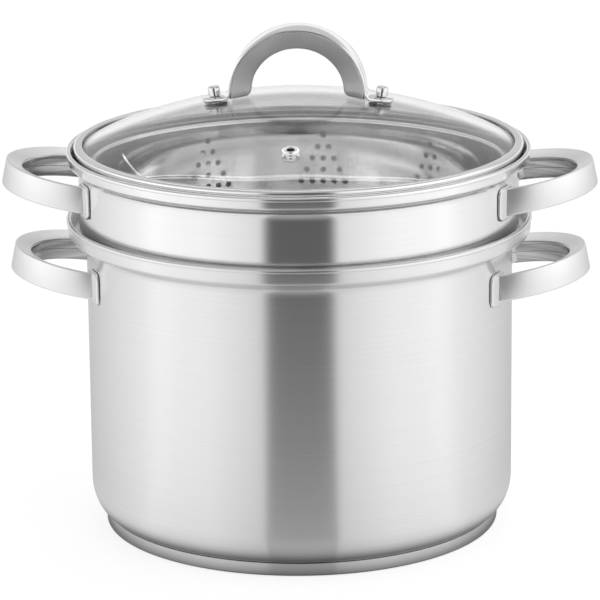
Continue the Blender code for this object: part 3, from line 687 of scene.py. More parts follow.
def clear_glass(name):
    """Clear glass with faint smears."""
    material, nodes, shader = new_material(name)
    nodes.join(nodes.spread(nodes.noise(30.0, 4.0), 0.3, 0.8, 0.0, 0.012), shader.inputs["Roughness"])
    shader.inputs["Base Color"].default_value = GLASS_COLOUR
    shader.inputs["Transmission Weight"].default_value = 1.0
    shader.inputs["IOR"].default_value = 1.5
    return material


def silicone(name):
    """Dull grey rubber with a fine grain."""
    material, nodes, shader = new_material(name)
    uneven(nodes, shader, nodes.noise(700.0), (0.52, 0.66), (0.5, 0.65))
    return material


def aluminium(name):
    """Rolled aluminium with fine lines."""
    material, nodes, shader = new_material(name, 1.0)
    uneven(nodes, shader, nodes.noise(1.0, stretch=ROLL_LINES), (0.60, 0.70), (0.35, 0.5))
    return material


# Each steel by its tone, its roughness and the spread of that, and satin steel by how far highlights stretch
# The body's steel carries painted shade at its foot
BODY_STEEL = satin_steel("satin_steel_body", 0.81, 0.25, 0.03, 0.85, BODY_FOOT_SHADE)
COLLAR_STEEL = satin_steel("satin_steel_insert", 0.88, 0.17, 0.02, 0.75)
BASKET_STEEL = satin_steel("satin_steel_basket", 0.87, 0.07, 0.02, 0.3)
CAP_STEEL = satin_steel("satin_steel_cap", 0.70, 0.30, 0.04, 0.6)
FASTENER_STEEL = satin_steel("satin_steel_fasteners", 0.72, 0.22, 0.03, 0.3)
BRIGHT_STEEL = polished_steel("polished_steel", 0.84, 0.09, 0.03)
LOOP_STEEL = polished_steel("polished_steel_loops", 0.86, 0.36, 0.03)
# Painted shade and dark reflections on the loops' inner faces, as a darker streaked steel
LOOP_SHADE_STEEL = shade_streaked_steel("shaded_steel_loops", (0.30, 0.66), (0.28, 0.20))
RIM_STEEL = polished_steel("polished_steel_rim", 0.90, 0.12, 0.03)
GRIP_STEEL = polished_steel("satin_steel_grip", 0.60, 0.30, 0.01, grains=0.0)
GLASS = clear_glass("clear_glass")
SILICONE = silicone("silicone")
ALUMINIUM = aluminium("aluminium")


# Perforations


def point_along(line, distance):
    """Place and direction at a distance along a line."""
    for start, end in zip(line, line[1:]):
        run = Vector(end) - Vector(start)
        if run.length > 0.0 and distance <= run.length:
            return Vector(start) + run.normalized() * distance, run.normalized()
        distance -= run.length
    return Vector(line[-1]), run.normalized()


def add_punch(work, place, normal, diameter):
    """Adds a short rod, which cuts one hole."""
    bmesh.ops.create_cone(
        work,
        cap_ends=True,
        segments=PUNCH_SIDES,
        radius1=diameter / 2,
        radius2=diameter / 2,
        depth=2 * PUNCH_REACH,
        matrix=square_to(normal, place),
    )


def punch_wall(work, line, distance, angle, across, diameter):
    """A punch in a vessel's side: down the line, round the axis, and sideways by an arc length."""
    spot, down = point_along(line, distance)
    turn = angle + across / spot.x
    add_punch(work, round_axis(spot.x, turn, spot.y), round_axis(-down.y, turn, down.x), diameter)


def punch_floor(work, height, pitch, rings, diameter):
    """A punch at the centre of a floor, and rings of them round it."""
    add_punch(work, Vector((0.0, 0.0, height)), UP, diameter)
    for ring in range(1, rings + 1):
        for index in range(6 * ring):
            angle = math.tau * index / (6 * ring)
            add_punch(work, round_axis(ring * pitch, angle, height), UP, diameter)


def mesh_of(name, work):
    mesh = bpy.data.meshes.new(name)
    work.to_mesh(mesh)
    work.free()
    return mesh


def basket_punches():
    """Triangles of holes, apex up, round the wall, and rings of holes in the floor."""
    work = bmesh.new()
    line = bowl_line()
    for cluster in range(BASKET_CLUSTERS):
        angle = math.pi / 2 - BASKET_CLUSTER_TURN + math.tau * cluster / BASKET_CLUSTERS
        for row, count in enumerate(BASKET_ROW_COUNTS):
            distance = BASKET_FIRST_ROW + row * BASKET_ROW_PITCH
            for index in range(count):
                share = 2 * index / (count - 1) - 1 if count > 1 else 0.0
                across = share * row * BASKET_ROW_SPREAD
                punch_wall(work, line, distance, angle, across, BASKET_HOLE)
    punch_floor(work, line[-1][1], BASKET_FLOOR_PITCH, BASKET_FLOOR_RINGS, BASKET_HOLE)
    return mesh_of("basket_punches", work)


def strainer_punches(outer):
    """Staggered rows of holes below the shoulder, and rings of holes in the floor."""
    work = bmesh.new()
    foot = POT_TOP - POT_FLARE_DROP - STRAINER_CLEARANCE
    wall = [p for p in outer if p[1] <= foot + WELD_DISTANCE]
    for row in range(STRAINER_ROWS):
        for column in range(STRAINER_COLUMNS):
            angle = math.tau * (column + STRAINER_TURN + (row % 2) / 2) / STRAINER_COLUMNS
            distance = STRAINER_FIRST_ROW + row * STRAINER_ROW_PITCH
            punch_wall(work, wall, distance, angle, 0.0, STRAINER_HOLE)
    punch_floor(work, STRAINER_BOTTOM, STRAINER_FLOOR_PITCH, STRAINER_FLOOR_RINGS, STRAINER_HOLE)
    return mesh_of("strainer_punches", work)


# Pot


def make_pot():
    """The vessel, the cap under it, and the frame's own disc between them."""
    profile = spaced(vessel_profile(pot_lines, POT_SHEET), PROFILE_PITCH)
    add_turned("pot_vessel", profile, (), "pot", BODY_STEEL, "satin_steel", "pot_body")

    corner = beside(floor_line(POT_RADIUS, POT_BOTTOM, POT_CORNER, 3 * ROUND_STEPS), GAP)
    inside = CAP_RADIUS - CAP_SHEET
    chamfer = CAP_RADIUS - CAP_CHAMFER
    cap = [(0.0, CAP_SHEET), (inside, CAP_SHEET), (inside, height_at(corner, inside))]
    cap += [(chamfer, height_at(corner, chamfer)), (CAP_RADIUS, height_at(corner, CAP_RADIUS) - SOFT_EDGE)]
    cap += quarter((CAP_RADIUS - CAP_EDGE, CAP_EDGE), CAP_EDGE, CAP_EDGE, 0) + [(0.0, 0.0)]
    mesh = turned("base_cap", spaced(cap, CAP_PITCH))
    add_piece("base_cap", mesh, "pot", CAP_STEEL, "satin_steel", "pot_base_cap")
    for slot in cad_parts["pot_base_core"].material_slots:
        slot.material = ALUMINIUM


# Side handles


def rounded(corners, radii, steps=4):
    """A closed outline with each corner turned to an arc."""
    points = []
    count = len(corners)
    for index, radius in enumerate(radii):
        here = Vector(corners[index])
        back = (Vector(corners[index - 1]) - here).normalized()
        ahead = (Vector(corners[(index + 1) % count]) - here).normalized()
        if radius == 0.0:
            points.append(tuple(here))
            continue
        half = math.acos(max(-1.0, min(1.0, back.dot(ahead)))) / 2
        reach = radius / math.tan(half)
        centre = here + (back + ahead).normalized() * (radius / math.sin(half))
        start = here + back * reach - centre
        end = here + ahead * reach - centre
        sweep = start.angle_signed(end)
        for step in range(steps + 1):
            turn = -sweep * step / steps
            spot = Matrix.Rotation(turn, 2) @ start
            points.append(tuple(centre + spot))
    return points


def loop_section():
    """Closed section of the loop, with the seam of the pressing in its inner face."""
    half = LOOP_HEIGHT / 2
    seam_half, seam_depth = LOOP_SEAM
    inner = -LOOP_WIDTH
    low = LOOP_SEAM_HEIGHT - seam_half
    high = LOOP_SEAM_HEIGHT + seam_half
    corners = [
        (0.0, -half),
        (-LOOP_LEAN, half),
        (inner, LOOP_INNER_HEIGHT - half),
        (inner, high),
        (inner + seam_depth, high - seam_half / 2),
        (inner + seam_depth, low + seam_half / 2),
        (inner, low),
        (inner, -half),
    ]
    outer_low, outer_high, inner_high, inner_low = LOOP_ROUNDS
    return rounded(corners, (outer_low, outer_high, inner_high, 0.0, 0.0, 0.0, 0.0, inner_low))


def loop_mesh(name, wall):
    """The loop swept in its own plane, before it is tilted."""
    centre = wall - LOOP_CENTRE_INSET
    reach = wall + LOOP_PROJECTION - centre
    end = 90 + LOOP_ROOT_TURN
    section = loop_section()
    rings = []
    for step in range(LOOP_STEPS + 1):
        turn = math.radians(-end + 2 * end * step / LOOP_STEPS)
        place = Vector((centre + reach * math.cos(turn), LOOP_HALF_WIDTH * math.sin(turn), 0.0))
        ahead = Vector((-reach * math.sin(turn), LOOP_HALF_WIDTH * math.cos(turn), 0.0)).normalized()
        away = Vector((ahead.y, -ahead.x, 0.0))
        rings.append([place + away * across + UP * up for across, up in section])
    return outward(lofted(name, rings))


def tab_mesh(name, outer, wall, height, side):
    """A rounded plate that takes the wall's curve, with a softened edge."""
    half_width = TAB_WIDTH / 2
    half_height = TAB_HEIGHT / 2
    middle = side * math.asin((LOOP_HALF_WIDTH - TAB_INSET) / wall)
    shares = [-1 + 2 * cell / TAB_CELLS for cell in range(TAB_CELLS + 1)]
    edge_share = TAB_EDGE / half_width
    shares = sorted(set(shares) | {s * (1 - edge_share * k) for s in (-1, 1) for k in TAB_EDGE_SHARES})
    count = len(shares)

    def spot(u, v, depth):
        x = u * half_width
        y = v * half_height
        over_x = max(abs(x) - (half_width - TAB_CORNER), 0.0) / TAB_CORNER
        over_y = max(abs(y) - (half_height - TAB_CORNER), 0.0) / TAB_CORNER
        if over_x > 0.0 and over_y > 0.0:
            round_x = TAB_CORNER * over_x * math.sqrt(1 - over_y**2 / 2)
            round_y = TAB_CORNER * over_y * math.sqrt(1 - over_x**2 / 2)
            x = math.copysign(half_width - TAB_CORNER + round_x, x)
            y = math.copysign(half_height - TAB_CORNER + round_y, y)
        level = height + y
        return round_axis(radius_at(outer, level) + depth, middle + x / wall, level)

    def crown(u, v):
        inset = min((1 - abs(u)) * half_width, (1 - abs(v)) * half_height)
        fall = max(1 - inset / TAB_EDGE, 0.0)
        return GAP + TAB_SHEET - TAB_EDGE * (1 - math.sqrt(1 - fall**2))

    verts = [spot(u, v, crown(u, v)) for v in shares for u in shares]
    verts += [spot(u, v, -TAB_SHEET) for v in shares for u in shares]
    back = count * count
    faces = []
    for row in range(count - 1):
        for column in range(count - 1):
            first = row * count + column
            corners = (first, first + 1, first + count + 1, first + count)
            faces.append(corners)
            faces.append(tuple(back + corner for corner in reversed(corners)))
    rim = list(range(count))
    rim += [row * count + count - 1 for row in range(1, count)]
    rim += [(count - 1) * count + column for column in range(count - 2, -1, -1)]
    rim += [row * count for row in range(count - 2, 0, -1)]
    for here, after in zip(rim, rim[1:] + rim[:1]):
        faces.append((here, back + here, back + after, after))
    return outward(new_mesh(name, verts, faces))


def wall_plug(name, outer, height):
    """A solid that fills a vessel to one gap outside its wall, round the handle's height."""
    reach = LOOP_HEIGHT + TAB_HEIGHT
    low = height - reach
    high = height + reach
    inside = [p for p in outer if low < p[1] < high and p[0] > 0.0]
    line = [(radius_at(outer, high), high)] + inside + [(radius_at(outer, low), low)]
    side = beside(line, GAP)
    return turned(name, [(0.0, side[0][1])] + side + [(0.0, side[-1][1])])


def round_opening(place, normal, wall):
    """Whether a face lies on the side of a loop that faces the loop's opening, where painted shade goes."""
    reach = LOOP_PROJECTION + LOOP_CENTRE_INSET
    out = place.x - wall + LOOP_CENTRE_INSET
    away = Vector((out / reach**2, place.y / LOOP_HALF_WIDTH**2, 0.0)).normalized()
    return place.x > wall + LOOP_INSIDE_START and normal.dot(away) < -LOOP_INSIDE_FACING


def make_loops(prefix, body, outer, wall, height):
    """A vessel's two side handles, each a loop and its tabs in one."""
    for side, heading in (("right", 0.0), ("left", math.pi)):
        name = prefix + "_loop_" + side
        tilt = Matrix.Rotation(-LOOP_TILT, 4, "Y")
        place = Vector((wall * (1.0 - math.cos(LOOP_TILT)), 0.0, height - wall * math.sin(LOOP_TILT)))
        turn = Matrix.Rotation(heading, 4, "Z")
        loop = loop_mesh(name, wall)
        loop.transform(turn @ Matrix.Translation(place) @ tilt)
        tabs = [tab_mesh(name + "_tab", outer, wall, height - TAB_DROP, way) for way in (-1, 1)]
        for tab in tabs:
            tab.transform(turn)
        mesh = combined(loop, "UNION", *tabs)
        mesh = combined(mesh, "DIFFERENCE", wall_plug(name + "_plug", outer, height))
        add_piece(name, mesh, body, LOOP_STEEL, "bright_steel", prefix + "_handle_" + side)
        # The faces round each loop's opening get the darker steel of painted shade
        mesh.materials.append(LOOP_SHADE_STEEL)
        back = turn.inverted()
        for face in mesh.polygons:
            face.material_index = int(round_opening(back @ face.center, back.to_3x3() @ face.normal, wall))


# Strainer insert and steamer basket


def make_insert():
    profile = spaced(vessel_profile(insert_lines, INSERT_SHEET), PROFILE_PITCH)
    cutters = ((strainer_punches(insert_lines(True)[1]),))
    body = "strainer_insert"
    add_turned("insert_vessel", profile, cutters, body, COLLAR_STEEL, "satin_steel", "insert_body")


def make_basket():
    bend = BASKET_BEND
    outer = [(FLANGE_RADIUS, FLANGE_UNDERSIDE)]
    outer += arc((BASKET_RADIUS + bend, FLANGE_UNDERSIDE - bend), (bend, bend), 90, 180)[:-1]
    outer += bowl_line()
    profile = spaced(beside(outer, -BASKET_SHEET)[::-1] + outer, PROFILE_PITCH)
    cutters = (basket_punches(),)
    add_turned("basket_bowl", profile, cutters, "basket", BASKET_STEEL, "satin_steel", "steamer_basket")


# Lid


def glass_height(radius, depth=0.0):
    """Height of the dome at a radius, on its upper side or at a depth below it."""
    return DOME_TOP - DOME_SPHERE + math.sqrt((DOME_SPHERE - depth) ** 2 - radius**2)


def glass_normal(x, y):
    return Vector((x, y, math.sqrt(DOME_SPHERE**2 - x**2 - y**2))).normalized()


def on_glass(x, y):
    """Matrix of a place on the glass's upper side, with Z square to the glass."""
    return square_to(glass_normal(x, y), (x, y, glass_height(math.hypot(x, y))))


def small_turned(name, profile, matrix, closed=False):
    mesh = turned(name, profile, SMALL_SIDES, closed)
    mesh.transform(matrix)
    return mesh


def drill(diameter, matrix):
    """A rod that cuts a hole through the glass or the handle's foot."""
    radius = diameter / 2
    reach = DRILL_REACH
    return small_turned("drill", [(0.0, reach), (radius, reach), (radius, -reach), (0.0, -reach)], matrix)


def seat_under_glass():
    """Depth of the seats below the glass, the same as the frame's."""
    normal = glass_normal(SCREW_PLACE, 0.0)
    half = SCREW_HOLE / 2 + GASKET_RIM
    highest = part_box("lid_gasket_lower_right")[1][2] - abs(normal.x) * half
    return (highest - on_glass(SCREW_PLACE, 0.0).translation.z) / normal.z


def make_glass(holes):
    reach = GLASS_EDGE - GLASS_EDGE_ROUND
    radii = [reach * (step / DOME_STEPS) for step in range(DOME_STEPS + 1)]
    top = [(radius, glass_height(radius)) for radius in radii]
    low = [(radius, glass_height(radius, GLASS_THICKNESS)) for radius in radii]
    soft = (GLASS_EDGE_ROUND, GLASS_EDGE_ROUND)
    side = arc((reach, top[-1][1] - GLASS_EDGE_ROUND), soft, GLASS_EDGE_TURN, 0, 4)
    side += arc((reach, low[-1][1] + GLASS_EDGE_ROUND), soft, 0, -GLASS_EDGE_TURN, 4)
    add_turned("glass_dome", top + side + low[::-1], holes, "lid", GLASS, "glass", "lid_glass")


def make_band():
    """The steel band is a channel that is crimped over and under the edge of the glass."""
    sheet = BAND_SHEET
    bead = BAND_BEAD
    crease = LID_SEAT + BAND_CREASE_HEIGHT
    crease_in, crease_up = BAND_CREASE_STEP
    foot_radius = BAND_RADIUS - BAND_FOOT_INSET
    tail_radius = BAND_RADIUS - BAND_TAIL
    tail_top = glass_height(tail_radius, GLASS_THICKNESS) - 2 * GAP
    lip_radius = BAND_RADIUS - BAND_LIP
    lip_height = glass_height(lip_radius) + GAP
    outer = [(lip_radius, lip_height), (lip_radius, lip_height + BAND_LIP_RISE * sheet)]
    outer += [(lip_radius + out * sheet, BAND_TOP - down * sheet) for out, down in BAND_LIP_SHARES]
    outer += arc((BAND_RADIUS - bead, BAND_TOP - bead), (bead, bead), 90, 0, 2 * ROUND_STEPS)
    outer += [(BAND_RADIUS, crease + crease_up), (BAND_RADIUS - crease_in, crease), (foot_radius, LID_SEAT)]
    outer.append((tail_radius, tail_top - sheet))
    inner = [
        (tail_radius, tail_top),
        (foot_radius - sheet / 2, LID_SEAT + sheet),
        (BAND_RADIUS - sheet, crease),
        (BAND_RADIUS - sheet, BAND_TOP - bead),
        (BAND_RADIUS - bead, BAND_TOP - sheet),
        (lip_radius + sheet, BAND_TOP - sheet),
    ]
    mesh = turned("crimped_band", outer + inner, closed=True)
    add_piece("crimped_band", mesh, "lid", RIM_STEEL, "bright_steel", "lid_rim_band")


def strap_line():
    """Outer line of the strap in the XZ plane, from the right foot's tip to the top of the arch."""
    normal = glass_normal(SCREW_PLACE, 0.0)
    spot = Vector((SCREW_PLACE, 0.0, glass_height(SCREW_PLACE))) + normal * (STRAP_FOOT + STRAP_THICKNESS)
    slope = -normal.x / normal.z
    tip = SCREW_PLACE + FOOT_RADIUS
    bend_x = ARCH_RADIUS + FOOT_BEND
    foot = []
    steps = 3 * ROUND_STEPS
    for step in range(steps + 1):
        x = tip + (bend_x - tip) * (math.sin(math.pi / 2 * (step / steps - 1)) + 1)
        foot.append((x, spot.z + slope * (x - SCREW_PLACE)))
    bend_foot = foot[-1][1]
    bend = quarter((bend_x, bend_foot + FOOT_BEND), FOOT_BEND, FOOT_BEND, -90)[1:]
    rise = ARCH_RADIUS - ARCH_DROP
    start = math.degrees(math.asin((bend[-1][1] - ARCH_CENTRE) / rise)) + ARCH_JOINT_TURN
    arch = arc((0.0, ARCH_CENTRE), (ARCH_RADIUS, rise), start, 90, 4 * ROUND_STEPS)
    return foot + bend + arch


def strap_mesh():
    """The strap as a skin over cross sections, whose width narrows to a round end over each foot."""
    right = strap_line()
    line = right + [(-x, z) for x, z in reversed(right[:-1])]
    inner = beside(line, STRAP_THICKNESS)
    rings = []
    for (x0, z0), (x1, z1) in zip(line, inner):
        over = abs(x0) - SCREW_PLACE
        half = STRAP_WIDTH / 2
        if over > 0.0:
            half = math.sqrt(max(FOOT_RADIUS**2 - over**2, 0.0)) + STRAP_TIP
        elif abs(x0) > ARCH_RADIUS + FOOT_BEND / 2:
            share = (abs(x0) - ARCH_RADIUS - FOOT_BEND / 2) / (SCREW_PLACE - ARCH_RADIUS - FOOT_BEND / 2)
            half += (FOOT_RADIUS + STRAP_TIP - half) * share
        edge = min(STRAP_EDGE, half / 2)
        corners = [(-half, 0.0), (half, 0.0), (half, -STRAP_THICKNESS), (-half, -STRAP_THICKNESS)]
        top = Vector((x0, 0.0, z0))
        down = (Vector((x1, 0.0, z1)) - top) / STRAP_THICKNESS
        wide = Vector((0.0, 1.0, 0.0))
        rings.append([top + wide * across - down * up for across, up in rounded(corners, (edge,) * 4)])
    return outward(lofted("strap", rings))


def grip_mesh():
    """The tapered grip under the strap, whose legs end in a rounded inner corner."""
    radius = ARCH_RADIUS - STRAP_THICKNESS / 2
    low_end = glass_height(radius) + GRIP_FOOT_CLEARANCE
    start = math.asin((low_end - ARCH_CENTRE) / radius)
    corner_turn = GRIP_FOOT_ROUND / (radius - GRIP_DEPTH)
    bends = [math.radians(90 * step / ROUND_STEPS) for step in range(ROUND_STEPS + 1)]
    stops = [start + corner_turn * (1 - math.cos(bend)) for bend in bends]
    middle = np.linspace(stops[-1], math.pi - stops[-1], 8 * ROUND_STEPS + 1)
    turns = stops + list(middle[1:-1]) + [math.pi - turn for turn in reversed(stops)]
    wide = GRIP_OUTER_WIDTH / 2
    narrow = GRIP_INNER_WIDTH / 2
    rings = []
    for turn in turns:
        share = min((min(turn, math.pi - turn) - start) / corner_turn, 1.0)
        drop = ARCH_DROP * max(math.sin(turn), 0.0)
        depth = GRIP_DEPTH - GRIP_FOOT_ROUND * (1 - math.sqrt(max(1 - (1 - share) ** 2, 0.0)))
        depth -= GRIP_DROP_SHARE * drop
        half = [(0.0, wide), (-GRIP_SHOULDER, wide), (-depth, narrow)]
        section = rounded(half + [(deep, -across) for deep, across in reversed(half)], GRIP_ROUNDS)
        out = Vector((math.cos(turn), 0.0, math.sin(turn)))
        centre = Vector((0.0, 0.0, ARCH_CENTRE)) + out * radius
        centre.z -= drop
        rings.append([centre + out * deep + Vector((0.0, across, 0.0)) for deep, across in section])
    return outward(lofted("grip", rings))


def under_strap(place):
    """Whether a place lies inside the arch's strap, on the grip."""
    reach = math.hypot(place.x, place.z - ARCH_CENTRE)
    rise = max((place.z - ARCH_CENTRE) / reach, 0.0)
    return reach < ARCH_RADIUS - STRAP_THICKNESS - ARCH_DROP * rise - STRAP_SEAM


def ring_profile(rim, foot, thickness):
    """A flat ring round a screw, with softened edges."""
    bore = SCREW_HOLE / 2
    outside = bore + rim
    top = foot + thickness
    edge = min(SOFT_EDGE, thickness / 3)
    profile = [(bore, top), (outside - edge, top), (outside, top - edge)]
    return profile + [(outside, foot + edge), (outside - edge, foot), (bore, foot)]


def screw_profile(top, head_top):
    """A screw from the end of its shank down to its domed head."""
    shank = SCREW_DIAMETER / 2
    head_diameter, head_height, head_round = SCREW_HEAD
    head = head_diameter / 2
    screw = [(0.0, top), (shank - SOFT_EDGE, top), (shank, top - SOFT_EDGE)]
    screw += [(shank, head_top), (head, head_top)]
    screw += quarter((0.0, head_top - head_height + head_round), head, head_round, 0, 2 * ROUND_STEPS)
    screw[-1] = (0.0, screw[-1][1])
    return screw


def nut_profile(foot, bore_top):
    """A cap nut, outside and in its blind bore."""
    bore = SCREW_DIAMETER / 2 + GAP
    outside = bore + NUT_WALL
    crown = foot + NUT_HEIGHT
    nut = [(0.0, crown)] + arc((outside - NUT_ROUND, crown - NUT_ROUND), (NUT_ROUND, NUT_ROUND), 90, 0)
    nut += [(outside, foot + SOFT_EDGE), (outside - SOFT_EDGE, foot)]
    return nut + [(bore, foot), (bore, bore_top), (0.0, bore_top)]


def make_fasteners(side, matrix, seat):
    """What holds one foot of the handle, from the upper gasket down to the screw, and the cap nut."""
    lower_foot = seat - GASKET_THICKNESS
    washer_foot = lower_foot - GAP - WASHER_THICKNESS
    nut_foot = STRAP_FOOT + STRAP_THICKNESS + GAP
    bore_top = nut_foot + NUT_BORE_DEPTH
    upper = ring_profile(GASKET_RIM, GAP, GASKET_THICKNESS)
    lower = ring_profile(GASKET_RIM, lower_foot, GASKET_THICKNESS)
    washer = ring_profile(WASHER_RIM, washer_foot, WASHER_THICKNESS)
    screw = screw_profile(bore_top - 2 * GAP, washer_foot - GAP)
    nut = nut_profile(nut_foot, bore_top)
    parts = (
        ("gasket_upper_", upper, True, SILICONE, "silicone"),
        ("gasket_lower_", lower, True, SILICONE, "silicone"),
        ("washer_", washer, True, FASTENER_STEEL, "satin_steel"),
        ("screw_", screw, False, FASTENER_STEEL, "satin_steel"),
        ("cap_nut_", nut, False, BRIGHT_STEEL, "bright_steel"),
    )
    for prefix, profile, closed, material, slot_name in parts:
        name = prefix + side
        mesh = small_turned(name, profile, matrix, closed)
        add_piece("fine_" + name, mesh, "lid", material, slot_name, "lid_" + name)


def make_vent(matrix, seat):
    """The steam vent, a rolled mouth in a flange on the glass, with a tail spread under the glass."""
    bore = VENT_BORE / 2
    tube = bore + VENT_WALL
    flange = tube + VENT_FLANGE_RIM
    tail = tube + VENT_TAIL_RIM
    edge = VENT_RING_HEIGHT - GAP
    soft = VENT_MOUTH_ROUND
    end = seat - VENT_TAIL_HEIGHT
    tail_in, tail_share = VENT_TAIL_EDGE
    profile = arc((bore + soft, VENT_FLANGE_HEIGHT - soft), (soft, soft), 180, 10, 2 * ROUND_STEPS)
    profile.append((bore + VENT_RING_INSET, VENT_RING_HEIGHT))
    profile += arc((flange - edge, GAP), (edge, edge), 90, 8)
    profile += [(flange, GAP), (tube, GAP), (tube, seat), (tail, seat)]
    profile += [(tail, seat - tail_share * VENT_TAIL_HEIGHT), (tail - tail_in, end), (bore, end)]
    mesh = small_turned("vent_eyelet", profile, matrix, closed=True)
    add_piece("vent_eyelet", mesh, "lid", BRIGHT_STEEL, "bright_steel", "lid_vent_eyelet")


def make_lid():
    seat = seat_under_glass()
    screws = {"right": on_glass(SCREW_PLACE, 0.0), "left": on_glass(-SCREW_PLACE, 0.0)}
    vent = on_glass(VENT_OFFSET, VENT_FROM_EDGE - GLASS_EDGE)
    holes = [drill(SCREW_HOLE, matrix) for matrix in screws.values()]
    holes.append(drill(VENT_BORE + 2 * VENT_WALL + 2 * GAP, vent))
    make_glass(holes)
    make_band()
    handle = combined(strap_mesh(), "UNION", grip_mesh())
    handle = combined(handle, "DIFFERENCE", *[drill(SCREW_HOLE, matrix) for matrix in screws.values()])
    handle.name = "arched_handle"
    add_piece("arched_handle", handle, "lid", BRIGHT_STEEL, "bright_steel", "lid_handle")
    handle.materials.append(GRIP_STEEL)
    for face in handle.polygons:
        face.material_index = int(under_strap(face.center))
    for side, matrix in screws.items():
        make_fasteners(side, matrix, seat)
    make_vent(vent, seat)


# Studio

# Brightness round the camera's axis, by the angle from the camera's side in degrees
STUDIO_PEAK = 1.25
STUDIO_TONES = (
    (0.0, 0.11), (14.5, 0.11), (17.0, 0.30), (20.0, 0.80), (27.0, 0.86), (49.0, 1.03), (66.0, 1.07),
    (80.0, 1.13), (90.0, 1.02), (121.0, 0.82), (146.0, 0.64), (156.0, 0.66), (168.0, 0.92), (180.0, 0.98),
)

# By the distance from the axis: the floor's least brightness, and its share of the studio's brightness. Both
# are low at and under the pot's base, a painted shadow in what the steel mirrors.
FLOOR_REACH = 1.0
STRIP_PEAK = 0.5
STRIP_TONES = (
    (0.0, 0.10), (0.112, 0.10), (0.120, 0.30), (0.126, 0.44), (0.140, 0.49), (0.160, 0.44),
    (0.19, 0.42), (0.28, 0.36), (0.45, 0.26), (0.61, 0.16), (0.76, 0.11), (1.0, 0.10),
)
NEAR_SHADOW_TONES = (
    (0.0, 0.10), (0.112, 0.12), (0.120, 0.48), (0.130, 0.80), (0.20, 0.84), (0.28, 0.92), (0.50, 1.0),
)
FLOOR_SIZE = 12.0
FLOOR_ALBEDO = 0.50
FLOOR_GLOW = 0.72
FOCUS = 0.060

# Backdrop behind the pot, in degrees: the turns from straight behind between which it fades into the studio,
# and two spreads of its tone by elevation
WORLD_GAIN = 1.2
BACK_TURNS = (45.0, 65.0)
BACK_FOOT = (6.0, 10.5, 1.0, 0.62)
PANEL_FOOT = (30.0, 56.0, 0.0, 0.85)

# Upper edge and slanted side of the panel that the lid mirrors, their bright borders, and the tone above it
PANEL_TOP = 57.8
PANEL_TURN = 31.0
PANEL_BEND = 0.0044
PANEL_SKEW = (0.0000315, 0.0000130)
PANEL_BORDER = 0.50
PANEL_BORDER_TONE = 4.5
PANEL_SIDE = (2.09, -13.7)
PANEL_SIDE_BORDER = 0.22
PANEL_SIDE_TONE = 3.0
PANEL_SIDE_HEIGHTS = (26.0, 41.0)
OVERHEAD = 0.50


def ramp(nodes, value, stops, reach, peak):
    """A grey curve through stops of (place, tone), which run up to a reach and a peak."""
    curve = nodes.add("ShaderNodeValToRGB")
    elements = curve.color_ramp.elements
    while len(elements) < len(stops):
        elements.new(0.5)
    for element, (place, tone) in zip(elements, stops):
        element.position = place / reach
        share = tone / peak
        element.color = (share, share, share, 1.0)
    nodes.join(nodes.math("DIVIDE", value, reach), curve.inputs[0])
    return nodes.math("MULTIPLY", curve.outputs[0], peak)


def studio_tone(nodes, turn):
    """Brightness of the studio round the camera's axis, from an angle in radians."""
    degrees = nodes.math("DEGREES", nodes.math("ABSOLUTE", turn))
    return ramp(nodes, degrees, STUDIO_TONES, 180.0, STUDIO_PEAK)


def studio_angle(nodes, vector, shift):
    """Angle from the camera's side round the axis, of a direction or a place, and the turned vector, split."""
    turn = nodes.add("ShaderNodeVectorRotate", rotation_type="Z_AXIS")
    turn.inputs["Angle"].default_value = -CAMERA_AZIMUTH
    nodes.join(vector, turn.inputs["Vector"])
    split = nodes.add("ShaderNodeSeparateXYZ")
    nodes.join(turn.outputs[0], split.inputs[0])
    front = nodes.math("MULTIPLY", nodes.math("ADD", split.outputs["Y"], shift), -1.0)
    return nodes.math("ARCTAN2", split.outputs["X"], front), split


def straight_view(nodes):
    """1 for the camera's rays and those that only pass through glass, else 0, and the light path's node."""
    path = nodes.add("ShaderNodeLightPath")
    no_bounce = nodes.math("ADD", path.outputs["Glossy Depth"], path.outputs["Diffuse Depth"])
    direct = nodes.math("LESS_THAN", no_bounce, 0.5)
    through = nodes.math("MULTIPLY", path.outputs["Is Transmission Ray"], direct)
    return nodes.math("MAXIMUM", path.outputs["Is Camera Ray"], through), path


